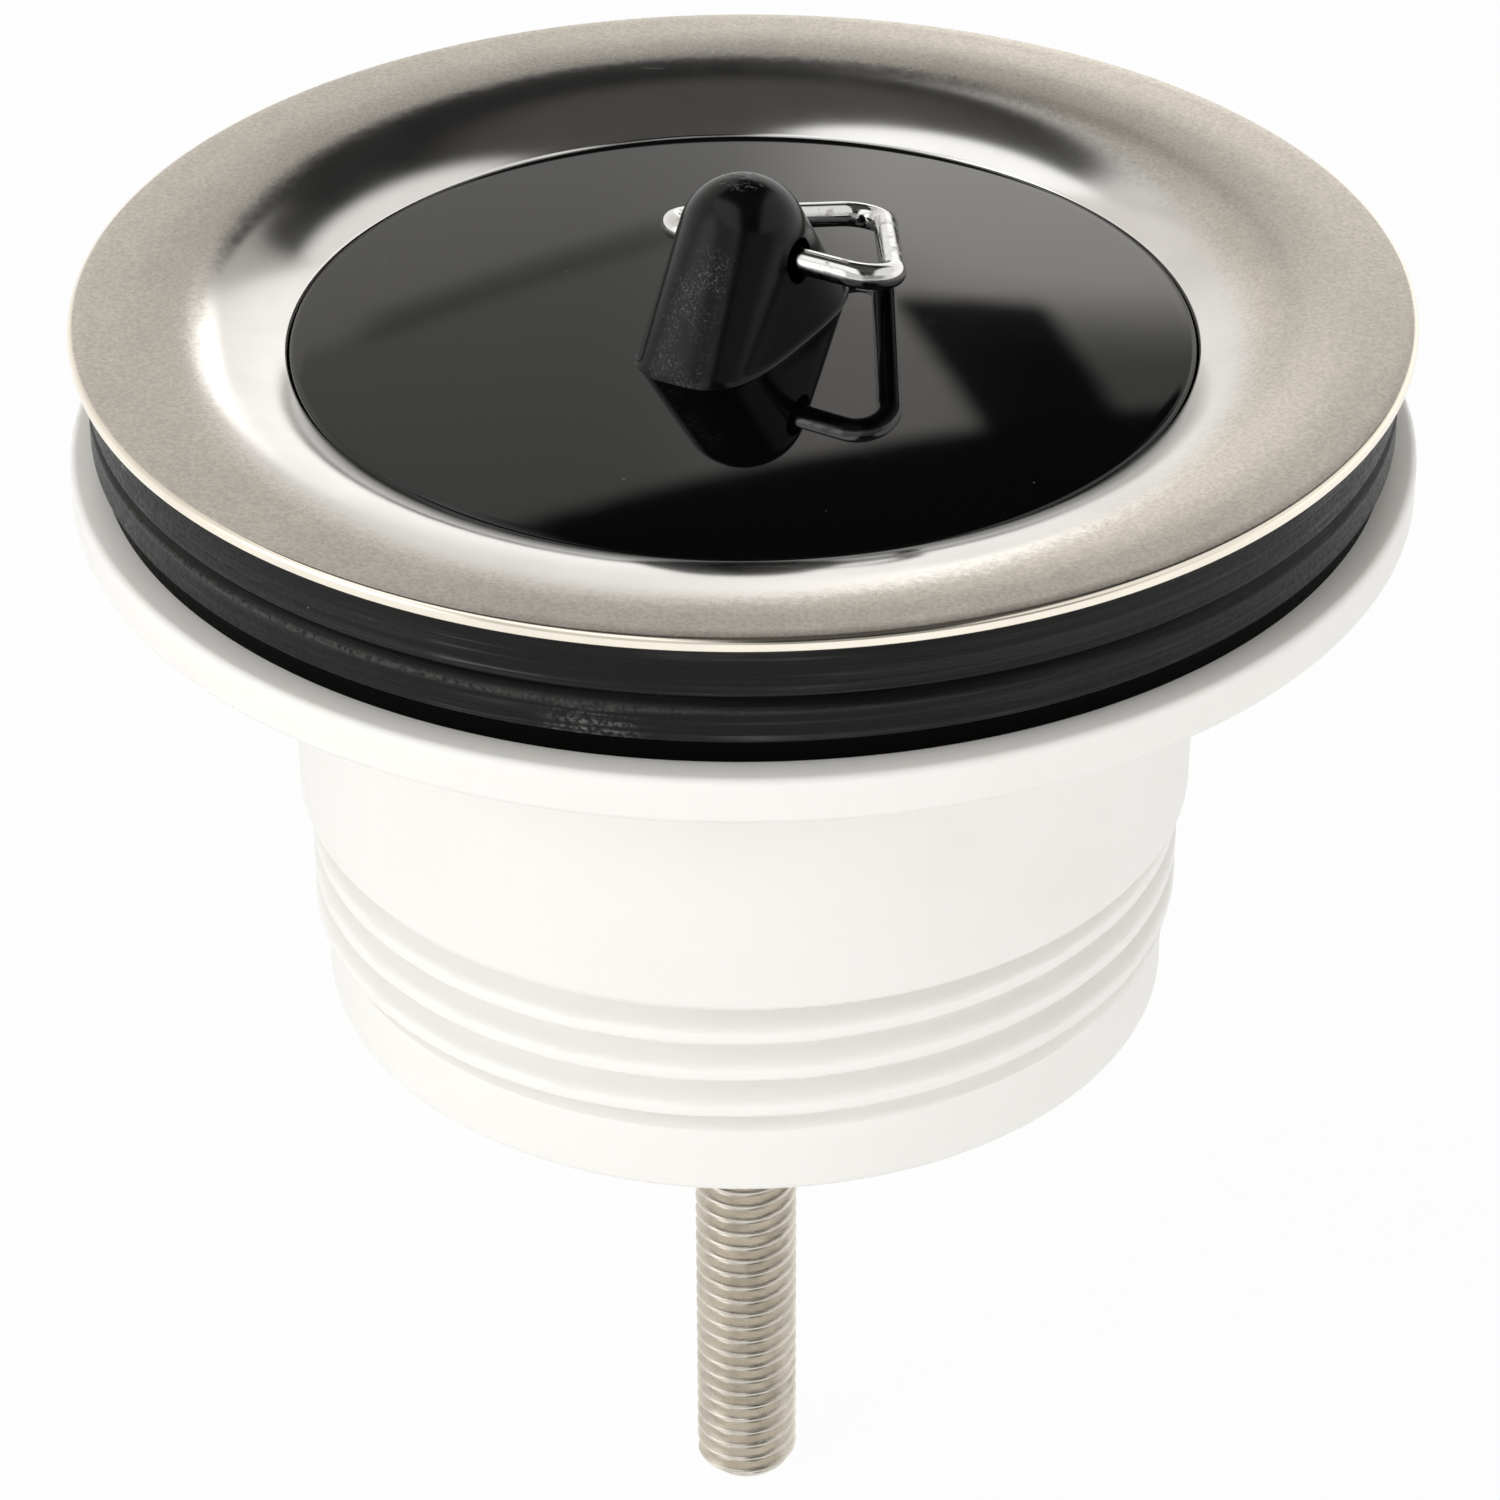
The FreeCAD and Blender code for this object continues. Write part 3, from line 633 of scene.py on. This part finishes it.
# Tail
tailSizes = {"flangeThickness": 2.5, "edgeRound": 0.4, "neckFillet": 1.0, "neckRadius": 24.6,
             "neckDraft": 0.2, "neckLength": 18.7, "threadCrest": 23.9, "threadPitch": 2.309,
             "threadDepth": 1.48, "threadLength": 8.4, "landShare": 0.24, "rootShare": 0.20,
             "runOut": 0.45, "runIn": 0.12, "leadIn": 0.25, "skirtRadius": 23.3, "chamfer": 0.4,
             "wall": 2.1, "mouthRadius": 22.81, "mouthEdge": 0.3, "mouthDepth": 8.2, "mouthTaper": 2.0,
             "mouthRound": 0.4, "step": 0.8, "bendPoints": 8, "steps": 360, "rowsPerTurn": 22, "sharp": 50}
spiderSizes = {"depth": 12.2, "height": 10.0, "armThickness": 2.4, "arms": 4, "heading": 45.0,
               "hubWall": 1.75, "hubPoints": 25, "nutFlats": 10.1, "nutHeight": 5.15,
               "screwHole": 3.2, "holePoints": 64, "cutBeyond": 1.0, "edge": 0.35, "edgeRows": 3,
               "edgeAngle": 40, "sharp": 30}


def smoothStep(x):
    # Climbs from 0 to 1 with level ends: 3 x^2 - 2 x^3
    x = np.clip(x, 0, 1)
    return x * x * (3 - 2 * x)


def threadSpread(heights, pitch, angle):
    # Distance from the middle of the thread's groove, 0 to 1, at a phase that climbs one pitch each turn
    phase = heights[:, None] / pitch - angle / turn
    return np.abs((phase % 1) - 0.5) * 2


def buildTail():
    # One turned shell. Between the neck and the skirt its radius also depends on the angle: the crest less
    # a groove whose phase climbs one pitch each turn, fading out at both ends of the thread
    s = tailSizes
    under = tailHigh[2] - s["flangeThickness"]
    neckEnd = under - s["neckLength"]
    threadEnd = neckEnd - s["threadLength"]
    bore = s["threadCrest"] - s["threadDepth"] - s["wall"]
    mouthEnd = tailHigh[2] - s["mouthDepth"]
    corners = [
        (s["threadCrest"], neckEnd),
        (s["neckRadius"] - s["neckDraft"], neckEnd, s["edgeRound"]),
        (s["neckRadius"], under, s["neckFillet"]),
        (tailFlangeRadius, under, s["edgeRound"]), (tailFlangeRadius, tailHigh[2], s["edgeRound"]),
        (s["mouthRadius"], tailHigh[2], s["mouthEdge"]), (s["mouthRadius"], mouthEnd, s["mouthRound"]),
        (bore, mouthEnd - s["mouthTaper"], s["mouthRound"]), (bore, tailLow[2], s["chamfer"]),
        (s["skirtRadius"], tailLow[2], s["chamfer"]), (s["skirtRadius"], threadEnd, 0.0)]
    loop = roundedLoop(corners, s["step"], s["bendPoints"])
    loop = loop[:np.hypot(loop[:, 0] - s["skirtRadius"], loop[:, 1] - threadEnd).argmin()]
    rows = int(s["threadLength"] / s["threadPitch"] * s["rowsPerTurn"])
    heights = np.linspace(threadEnd, neckEnd, rows + 1)
    ladder = np.stack([np.full(rows + 1, s["threadCrest"]), heights], -1)
    loop = np.concatenate([ladder, loop[1:]])
    radii = loop[:, :1] * np.ones(s["steps"])
    spread = threadSpread(heights - threadEnd, s["threadPitch"], ringAngles(s["steps"]))
    flank = 1 - s["landShare"] - s["rootShare"]
    groove = 1 - smoothStep((spread - s["rootShare"]) / flank)
    rise = (heights[:, None] - threadEnd) / s["threadPitch"]
    fall = (neckEnd - heights[:, None]) / s["threadPitch"]
    cut = groove * (smoothStep(fall / s["runOut"]) * smoothStep(rise / s["runIn"]))
    lead = (s["threadCrest"] - s["skirtRadius"]) * (1 - smoothStep(rise / s["leadIn"]))
    radii[:rows + 1] -= s["threadDepth"] * cut + lead * (1 - cut)
    points, faces = roundPoints(radii, loop[:, 1]), gridFaces(len(loop), s["steps"], True)
    piece = makePiece("tailShell", points, faces, "tail", plastic, s["sharp"])
    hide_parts("tail_body")
    return bore


def buildSpider(bore):
    # Plus-shaped web with a round hub, drawn as one outline in plan: the hub's arc between arms, then out
    # along each arm to the bore, raised to the web's height; the nut's pocket and the screw's hole are cut
    # out of it
    s = spiderSizes
    top = tailHigh[2] - s["depth"]
    bottom = top - s["height"]
    corner = s["nutFlats"] / 2 / math.cos(math.radians(30))
    hub = corner + s["hubWall"]
    half = s["armThickness"] / 2
    reach = bore + tailSizes["wall"] / 2
    lean = math.asin(half / hub)
    arcs = np.linspace(lean, turn / s["arms"] - lean, s["hubPoints"])
    quarter = np.concatenate([[[reach, -half], [reach, half]], hub * unitCircle(arcs)])
    headings = math.radians(s["heading"]) + ringAngles(s["arms"])
    points, faces = prism([np.concatenate([swung(quarter, a) for a in headings])], bottom, top)
    piece = makePiece("tailSpider", points, faces, "tail", plastic, s["sharp"])
    hexagon = unitCircle(ringAngles(6)) * corner
    cutAway(piece, *prism([hexagon], bottom - s["cutBeyond"], bottom + s["nutHeight"]), s["sharp"])
    hole = unitCircle(ringAngles(s["holePoints"])) * s["screwHole"]
    cutAway(piece, *prism([hole], bottom - s["cutBeyond"], top + s["cutBeyond"]), s["sharp"])
    ease = piece.modifiers.new("edges", "BEVEL")
    ease.width, ease.segments, ease.limit_method = s["edge"] * mm, s["edgeRows"], "ANGLE"
    ease.angle_limit = math.radians(s["edgeAngle"])


buildSpider(buildTail())
print("tail built")

# Screw
screwSizes = {"radius": 2.95, "pitch": 1.0, "depth": 0.61, "crestShare": 0.14, "rootShare": 0.22,
              "startTurns": 1.2, "headRadius": 5.65, "headInner": (1.5, 3.4), "headEdge": 0.12,
              "headLip": (0.10, 0.24), "headMiddle": 1.4, "shankRadius": 2.70, "shankLength": 1.5,
              "shankRound": 0.1, "tipLength": 0.9, "tipSetback": 0.85, "tipRows": 10, "endShare": 0.5,
              "driveWidth": 1.5, "driveDepth": 1.3, "driveReach": 1.5, "cutBeyond": 1.0, "steps": 72,
              "rowsPerTurn": 14, "sharp": 60}


def buildScrew():
    # Sunk head and shank turned, then a thread whose radius falls from crest to root with the phase of
    # height and angle, fading in under the shank and running out into a coned tip; the drive slot is cut
    # across the head
    s = screwSizes
    top, tip = screwHigh[2], screwLow[2]
    head, shank, soft = s["headRadius"], s["shankRadius"], s["shankRound"]
    shankTop = top - (head - shank)
    threadTop = shankTop - s["shankLength"]
    threadEnd = tip + s["tipLength"]
    headRun = np.array([(s["headInner"][0], top), (s["headInner"][1], top), (head - s["headEdge"], top),
                        (head, top - s["headLip"][0]), (head - s["headEdge"], top - s["headLip"][1]),
                        (shank + s["headMiddle"], shankTop + s["headMiddle"]),
                        (shank + soft, shankTop + soft), (shank, shankTop - soft)])
    rows = int((threadTop - threadEnd) / s["pitch"] * s["rowsPerTurn"])
    threadRows = np.linspace(threadTop, threadEnd, rows)
    tipRows = np.linspace(threadEnd, tip, s["tipRows"])[1:]
    heights = np.concatenate([headRun[:, 1], threadRows, tipRows, [tip]])
    angle = ringAngles(s["steps"])
    flank = 1 - s["crestShare"] - s["rootShare"]
    groove, tipGroove = (1 - np.clip((threadSpread(h, s["pitch"], angle) - s["rootShare"]) / flank, 0, 1)
                         for h in (threadRows, tipRows))
    start = smoothStep((threadTop - threadRows[:, None]) / (s["startTurns"] * s["pitch"]))
    crest = shank + (s["radius"] - shank) * start
    thread = crest - s["depth"] * groove * start
    tipShare = np.linspace(0, 1, s["tipRows"])[1:, None]
    cone = s["radius"] - s["tipSetback"] * tipShare
    tipRadius = np.minimum(cone, s["radius"] - s["depth"] * tipGroove * (1 - tipShare))
    endRadius = (s["radius"] - s["tipSetback"]) * s["endShare"]
    full = np.ones((1, s["steps"]))
    radii = np.concatenate([headRun[:, :1] * full, thread, tipRadius, endRadius * full])
    points, faces = roundPoints(radii[::-1], heights[::-1]), cappedFaces(len(heights), s["steps"])
    piece = makePiece("screwThreaded", points, faces, "screw", screwMetal, s["sharp"])
    half, far = s["driveWidth"] / 2, head * s["driveReach"]
    slot = np.array([(-far, -half), (far, -half), (far, half), (-far, half)])
    cutAway(piece, *prism([slot], top - s["driveDepth"], top + s["cutBeyond"]), s["sharp"])
    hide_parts("centre_screw")


buildScrew()
print("screw built")

# Plug
plugSizes = {"disc": 23.72, "taper": 0.55, "thickness": 1.7, "dome": 0.40, "edgeRound": 0.32, "topRows": 40,
             "rollRows": 16, "rollEnd": 0.12, "stemHole": 2.45, "sealWall": 2.1, "web": 1.4, "webRound": 0.3,
             "sealRound": 0.3, "sealStep": 0.6, "sealSteps": 240, "stemRadius": 2.4, "stemFoot": 3.6,
             "stemCore": 1.2, "stemEdge": 0.2, "stemSteps": 72, "steps": 400, "sharp": 50}
crown = discLow[2] + plugSizes["thickness"] + plugSizes["dome"]


def domeHeight(radius):
    # Height of the disc's gently domed top at a distance from the axis
    edge = plugSizes["disc"] - plugSizes["edgeRound"]
    bend = (edge ** 2 + plugSizes["dome"] ** 2) / (2 * plugSizes["dome"])
    return crown - bend + np.sqrt(bend ** 2 - radius ** 2)


def buildPlug():
    # Disc: turned, its top a cap of a large ball that rolls over into the edge. Seal: a turned cup that
    # follows the cone
    s = plugSizes
    under = discLow[2]
    brink = s["disc"] - s["edgeRound"]
    top = np.linspace(s["stemHole"], brink, s["topRows"])
    lean = math.asin(brink * 2 * s["dome"] / (brink ** 2 + s["dome"] ** 2))
    bend = np.linspace(lean, math.pi / 2 - s["rollEnd"], s["rollRows"])[1:]
    roll = np.stack([brink + s["edgeRound"] * (np.sin(bend) - math.sin(lean)),
                     domeHeight(brink) - s["edgeRound"] * (math.cos(lean) - np.cos(bend))], -1)
    lowSide = np.array([(s["disc"] - s["taper"], under), (s["stemHole"], under)])
    edge = np.concatenate([np.stack([top, domeHeight(top)], -1), roll, lowSide])
    disc = turnedPiece("plugDisc", edge, s["steps"], "plug", gloss, s["sharp"])
    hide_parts("plug_disc")
    sealFoot, sealTop = plugSealLow[2], plugSealHigh[2]
    outTop = plugSealHigh[0]
    outFoot = outTop - (sealTop - sealFoot) / math.tan(math.radians(sheetSizes["throatTurn"]))
    inFoot = outFoot - s["sealWall"]
    web = sealTop - s["web"]
    ring = [(s["stemHole"], sealTop), (s["stemHole"], web), (inFoot, web, s["webRound"]),
            (inFoot, sealFoot, s["sealRound"]), (outFoot, sealFoot, s["sealRound"]), (outTop, sealTop)]
    loop = roundedLoop(ring, s["sealStep"])
    skirt = turnedPiece("plugSkirt", loop, s["sealSteps"], "plug", rubber)
    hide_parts("plug_seal")


buildPlug()
print("plug built")

# Knob
knobSizes = {"heading": 60.0, "halfLength": 7.25, "halfWidth": 3.7, "fullness": 3.2, "tentHeight": 5.1,
             "ballRadius": 3.4, "baseFlare": 0.10, "flareFade": 0.10, "flareShare": 0.12, "flareRows": 10,
             "wallRows": 44, "ballRows": 40, "poleGap": 0.03, "floorRows": 14, "floorShare": 0.06,
             "eyeHeight": 4.6, "eyeRadius": 1.22, "eyeSteps": 72, "eyeReach": 2.2, "steps": 288, "sharp": 60,
             "eyeSharp": 50}
knobHeading = math.radians(knobSizes["heading"])
knobAlong = np.array([math.cos(knobHeading), math.sin(knobHeading), 0])
knobAcross = np.array([math.sin(knobHeading), -math.cos(knobHeading), 0])
eyeMiddle = upward * (crown + knobSizes["eyeHeight"])
knobBlack = knobFinish(knobHigh[2], knobHeading)


def footOutline(count):
    # Points of a long oval with full ends, (u / a)^n + (v / b)^n = 1, and the way out of it at each point
    size, n = np.array([knobSizes["halfLength"], knobSizes["halfWidth"]]), knobSizes["fullness"]
    unit = unitCircle(ringAngles(count, 0.5))
    points = size * np.sign(unit) * np.abs(unit) ** (2 / n)
    out = np.sign(points) * np.abs(points) ** (n - 1) / size ** n
    return points, out / np.linalg.norm(out, axis=1, keepdims=True)


def buildKnob():
    # Skin stretched over the foot and a ball on top: each ruling lies in the plane that touches both, then
    # the ball's own arc climbs to the pole; the foot follows the domed disc with a small flare
    s = knobSizes
    foot, out = footOutline(s["steps"])
    base = domeHeight(np.linalg.norm(foot, axis=1))
    ballHeight, ball = crown + s["tentHeight"], s["ballRadius"]
    reach, lift = (foot * out).sum(1), ballHeight - base
    lean = np.arccos(ball / np.hypot(reach, lift)) - np.arctan2(lift, reach)
    touch = out * (ball * np.cos(lean))[:, None]
    touchZ = ballHeight + ball * np.sin(lean)
    share = np.concatenate([np.linspace(0, s["flareShare"], s["flareRows"])[:-1],
                            np.linspace(s["flareShare"], 1, s["wallRows"])])[:, None]
    wallZ = base + (touchZ - base) * share
    flare = s["baseFlare"] * np.exp((base - wallZ) / s["flareFade"])
    wall = foot + (touch - foot) * share[..., None] + flare[..., None] * out
    climb = lean + (math.pi / 2 - s["poleGap"] - lean) * np.linspace(0, 1, s["ballRows"])[1:, None]
    floor = wall[0] * np.linspace(s["floorShare"], 1, s["floorRows"])[:-1, None, None]
    flat = np.concatenate([floor, wall, out * (ball * np.cos(climb))[..., None]])
    z = np.concatenate([domeHeight(np.linalg.norm(floor, axis=-1)), wallZ, ballHeight + ball * np.sin(climb)])
    points = np.concatenate([swung(flat, knobHeading), z[..., None]], -1).reshape(-1, 3)
    faces = cappedFaces(len(z), s["steps"])
    piece = makePiece("plugKnob", points, faces, "plug", knobBlack, s["sharp"])
    circle = unitCircle(ringAngles(s["eyeSteps"], 0.5))
    ring = s["eyeRadius"] * (circle[:, :1] * knobAlong + circle[:, 1:] * upward)
    far = knobAcross * (s["halfWidth"] * s["eyeReach"])
    tube = np.concatenate([ring - far, ring + far]) + eyeMiddle
    cutAway(piece, tube, prism([circle], 0, 1)[1], s["eyeSharp"])
    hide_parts("plug_knob")
    p, low = plugSizes, knobLow[2]
    web, core, wide, edge = plugSealHigh[2] - p["web"], p["stemCore"], p["stemFoot"], p["stemEdge"]
    stem = np.array([(core, low), (wide - edge, low), (wide, low + edge), (wide, web), (p["stemRadius"], web),
                     (p["stemRadius"], crown), (core, crown)])
    points, faces = turnedPoints(stem, p["stemSteps"]), cappedFaces(len(stem), p["stemSteps"])
    makePiece("knobStem", points, faces, "plug", knobBlack)


buildKnob()
print("knob built")

# Wire link
linkSizes = {"wire": 0.68, "side": 15.0, "bend": 1.6, "offset": 1.5, "dip": 14.0, "around": 40, "perLeg": 40,
             "perBend": 28}


def buildLink():
    # A circle carried round a triangle with bent corners: three straight legs, three arcs of a third of a
    # turn, laid flat, then moved so that one leg runs through the knob's eye and the far corner dips
    s = linkSizes
    third = math.tan(math.radians(30))
    halfLeg = s["side"] / 2 - s["bend"] / third
    path, outward = [], []
    for a in ringAngles(3):
        way = np.array([math.cos(a), math.sin(a)])
        aside = np.array([math.sin(a), -math.cos(a)])
        middle = aside * (s["side"] / 2 * third)
        along = np.linspace(-halfLeg, halfLeg, s["perLeg"])[:, None]
        path.append(middle + way * along)
        outward.append(np.broadcast_to(aside, (s["perLeg"], 2)))
        centre = middle + way * halfLeg - aside * s["bend"]
        swing = np.linspace(0, turn / 3, s["perBend"] + 2)[1:-1] + math.atan2(aside[1], aside[0])
        rim = unitCircle(swing)
        path.append(centre + rim * s["bend"])
        outward.append(rim)
    path, outward = np.concatenate(path), np.concatenate(outward)
    around = ringAngles(s["around"])
    flat = path[:, None, :] + outward[:, None, :] * (s["wire"] * np.cos(around))[None, :, None]
    rise = np.broadcast_to(s["wire"] * np.sin(around), flat.shape[:2])
    dip = math.radians(s["dip"])
    apex = knobAlong * math.cos(dip) - upward * math.sin(dip)
    face = np.cross(knobAcross, apex)
    laid = eyeMiddle + knobAcross * s["offset"] + apex * (s["side"] / 2 * third)
    points = laid + flat[..., :1] * knobAcross + flat[..., 1:] * apex + rise[..., None] * face
    faces = gridFaces(len(path), s["around"], True)[:, ::-1]
    piece = makePiece("linkTriangle", points.reshape(-1, 3), faces, "link", wireMetal)
    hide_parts("wire_link")


buildLink()
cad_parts["insert_nut"].data.materials.clear()
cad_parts["insert_nut"].data.materials.append(brass)
print("link and nut done")

# Floor, light and camera
stageSizes = {"floorSide": 6000.0, "floorColor": rgb(0.90, 0.90, 0.895), "floorRough": 0.9,
              "whiteShare": 0.96}


def floorFinish():
    # Pale floor that still takes the object's shadow, lifted to white where the camera or a gloss sees it
    f = Finish("paleFloor")
    f.set(Base_Color=stageSizes["floorColor"], Roughness=stageSizes["floorRough"])
    path = f.add("ShaderNodeLightPath")
    seen = f.math("MAXIMUM", path.outputs["Is Camera Ray"], path.outputs["Is Glossy Ray"])
    seen = f.math("MAXIMUM", seen, path.outputs["Is Transmission Ray"])
    white = f.add("ShaderNodeEmission", {"Color": rgb(1, 1, 1), "Strength": 1.0})
    share = f.times(seen, stageSizes["whiteShare"])
    both = f.add("ShaderNodeMixShader", {0: share, 1: f.shader.outputs[0], 2: white.outputs[0]})
    f.feed(f.output.inputs[0], both.outputs[0])
    return f.material


def layFloor():
    # One large square at the height of the screw's tip
    square = np.array([(-1, -1), (1, -1), (1, 1), (-1, 1)]) * (stageSizes["floorSide"] / 2)
    mesh = newMesh("floor", np.c_[square, np.full(len(square), screwLow[2])], [(0, 1, 2, 3)])
    mesh.materials.append(floorFinish())
    floor = addObject("floor", mesh)


layFloor()

# Room that the glossy pieces mirror, in directions: x to the right, y away, z up. Pairs are where a ramp
# starts and ends; patch is its middle, size, core and gain; flag its two sides, foot, lean and depth;
# frontGap its two sides and the light left in it
roomLight = {
    "low": rgb(1.20, 1.19, 1.17), "high": rgb(0.95, 0.92, 0.87), "behind": (-0.25, 0.15),
    "top": 0.528, "topLean": 0.304, "blur": 0.005, "rightLift": 0.12, "liftSide": (0.13, 0.21),
    "dark": rgb(0.018, 0.018, 0.018), "overhead": rgb(0.07, 0.066, 0.062), "overheadFrom": (0.80, 0.92),
    "leftWall": rgb(0.70, 0.69, 0.67), "leftFrom": -0.05, "leftBlur": 0.05,
    "leftTop": 0.79, "leftTopBlur": 0.06,
    "boxHigh": rgb(1.15, 1.15, 1.14), "boxFrom": -0.28, "boxBlur": 0.12,
    "boxLean": 1.3, "boxSide": (0.0, -0.2),
    "rightHigh": rgb(0.85, 0.84, 0.82), "rightFrom": 0.45, "rightBlur": 0.12,
    "patch": (0.085, 0.39, 0.095, 0.45, 0.95), "flag": (0.0396, 0.0815, 0.4507, 0.45, 0.95),
    "rightDim": 0.45, "rightDimSide": (0.05, 0.085), "rightDimHeight": (0.435, 0.475),
    "leftDim": 0.70, "leftDimSide": (0.03, -0.03), "leftGain": 0.80, "leftGainSide": (0.03, -0.05),
    "dimTop": 0.409, "dimLean": 0.49, "dimLine": 0.35, "lineWidth": (0.012, 0.002), "lineRight": (0.0, -0.03),
    "lineLeft": (-0.11, -0.095), "frontLeft": rgb(1.65, 1.64, 1.61), "frontRight": rgb(0.80, 0.79, 0.77),
    "frontTurn": (-0.1, 0.1), "frontGap": (-0.62, 0.75, 0.40), "gapBlur": 0.2}


def lightRoom():
    # Pale backdrop up to a leaning top edge, brighter in a patch on the right and dimmer on the left, with
    # one dark leaning flag in front of it; a pale wall on the left and on the right; a bright box overhead
    # on the left; a pale front with a dimmer gap where the viewer stands; dim air above
    r = roomLight
    world = bpy.data.worlds.new("studio")
    scene.world = world
    world.use_nodes = True
    g = Graph(world.node_tree)
    parts = g.add("ShaderNodeSeparateXYZ", {0: g.add("ShaderNodeTexCoord").outputs["Generated"]})
    x, y, z = parts.outputs
    soft = r["blur"]

    wall = g.mix(g.ramp(z, 0.0, r["top"], smooth=False), r["low"], r["high"])
    patchX, patchZ, size, core, patchGain = r["patch"]
    patch = g.ramp(g.apart(x, z, (patchX, patchZ)), size, size * core)
    gain = g.math("ADD", 1.0, g.times(patch, patchGain))
    leftEdge, rightEdge, lowEdge, lean, depth = r["flag"]
    along = g.math("SUBTRACT", x, g.times(g.math("SUBTRACT", z, lowEdge), lean))
    flag = g.times(g.ramp(along, leftEdge - soft, leftEdge + soft),
                   g.ramp(along, rightEdge + soft, rightEdge - soft),
                   g.ramp(z, lowEdge - soft, lowEdge + soft))
    gain = g.times(gain, g.math("SUBTRACT", 1.0, g.times(flag, depth)))
    shade = g.times(g.ramp(x, *r["rightDimSide"]), g.ramp(z, *r["rightDimHeight"]))
    gain = g.times(gain, g.ramp(shade, 0.0, 1.0, 1.0, r["rightDim"], False))
    lifted = g.math("ADD", z, g.times(x, r["dimLean"]))
    dim = g.times(g.ramp(x, *r["leftDimSide"]), g.ramp(lifted, r["dimTop"] - soft, r["dimTop"] + soft))
    gain = g.times(gain, g.ramp(dim, 0.0, 1.0, 1.0, r["leftDim"], False),
                   g.ramp(x, *r["leftGainSide"], 1.0, r["leftGain"]))
    seam = g.ramp(g.math("ABSOLUTE", g.math("SUBTRACT", lifted, r["dimTop"])), *r["lineWidth"])
    seam = g.times(seam, g.ramp(x, *r["lineRight"]), g.ramp(x, *r["lineLeft"]))
    gain = g.times(gain, g.ramp(seam, 0.0, 1.0, 1.0, 1 - r["dimLine"], False))
    wall = g.shaded(wall, gain)

    gapLeft, gapRight, gapLight = r["frontGap"]
    opened = g.math("MAXIMUM", g.ramp(x, gapLeft, gapLeft - r["gapBlur"], gapLight),
                    g.ramp(x, gapRight, gapRight + r["gapBlur"], gapLight))
    front = g.shaded(g.mix(g.ramp(x, *r["frontTurn"]), r["frontLeft"], r["frontRight"]), opened)
    around = g.mix(g.ramp(y, *r["behind"]), front, wall)

    leaned = g.math("ADD", z, g.times(x, r["topLean"]))
    leaned = g.math("SUBTRACT", leaned, g.ramp(x, *r["liftSide"], 0.0, r["rightLift"]))
    above = g.ramp(leaned, r["top"] - soft, r["top"] + soft)
    left = g.times(g.ramp(x, r["leftFrom"], r["leftFrom"] - r["leftBlur"]),
                   g.ramp(z, r["leftTop"], r["leftTop"] - r["leftTopBlur"]))
    box = g.ramp(g.math("ADD", y, g.times(x, r["boxLean"])), r["boxFrom"], r["boxFrom"] - r["boxBlur"])
    box = g.times(box, g.ramp(x, *r["boxSide"]))
    right = g.ramp(x, r["rightFrom"], r["rightFrom"] + r["rightBlur"])
    air = g.mix(g.ramp(z, *r["overheadFrom"]), r["dark"], r["overhead"])
    over = g.mix(box, g.mix(left, air, r["leftWall"]), r["boxHigh"])
    over = g.mix(right, over, r["rightHigh"])
    sky = g.mix(above, around, over)
    path = g.add("ShaderNodeLightPath")
    seen = g.mix(path.outputs["Is Camera Ray"], sky, rgb(1, 1, 1))
    light = g.add("ShaderNodeBackground", {"Color": seen, "Strength": 1.0})
    g.add("ShaderNodeOutputWorld", {0: light.outputs[0]})


lightRoom()

# Soft lamps: place, width and height, power, colour; all turned to one point on the tail
lamps = {
    "softLeft": ((-560, -420, 330), (420, 420), 1.35, (1.0, 0.99, 0.97)),
    "softFront": ((60, -880, 110), (700, 300), 2.2, (1.0, 0.99, 0.975)),
    "softRight": ((640, -260, 160), (400, 400), 0.8, (1.0, 0.985, 0.96)),
}
lampTarget = Vector((0, 0, -20)) * mm
for name, (spot, (width, height), power, color) in lamps.items():
    light = bpy.data.lights.new(name, "AREA")
    light.shape, light.size, light.size_y = "RECTANGLE", width * mm, height * mm
    light.energy, light.color = power, color
    holder = addObject(name, light)
    holder.visible_camera = holder.visible_glossy = False
    place = Vector(spot) * mm
    aim = lampTarget - place
    holder.matrix_world = Matrix.Translation(place) @ aim.to_track_quat("-Z", "Y").to_matrix().to_4x4()

photoCamera = {"place": (0.0175, -231.0, 123.1), "lens": 119.39, "sensor": 36.0, "pitch": 32.608,
               "yaw": 0.0714, "roll": -0.157, "clip": (0.01, 50.0)}


def setCamera():
    # Looks along the photograph's line of sight, with its small turn about that line
    c = photoCamera
    pitch, yaw, roll = (math.radians(c[k]) for k in ("pitch", "yaw", "roll"))
    ahead = Vector((math.sin(yaw) * math.cos(pitch), math.cos(yaw) * math.cos(pitch), -math.sin(pitch)))
    side = ahead.cross(Vector((0, 0, 1))).normalized()
    upright = side.cross(ahead)
    right = side * math.cos(roll) + upright * math.sin(roll)
    up = right.cross(ahead)
    data = bpy.data.cameras.new("photoCamera")
    data.lens, data.sensor_width, data.sensor_fit = c["lens"], c["sensor"], "HORIZONTAL"
    data.clip_start, data.clip_end = c["clip"]
    camera = addObject("photoCamera", data)
    turned = Matrix((right, up, -ahead)).transposed().to_4x4()
    camera.matrix_world = Matrix.Translation(Vector(c["place"]) * mm) @ turned
    scene.camera = camera


setCamera()
print("stage, lamps and camera set")
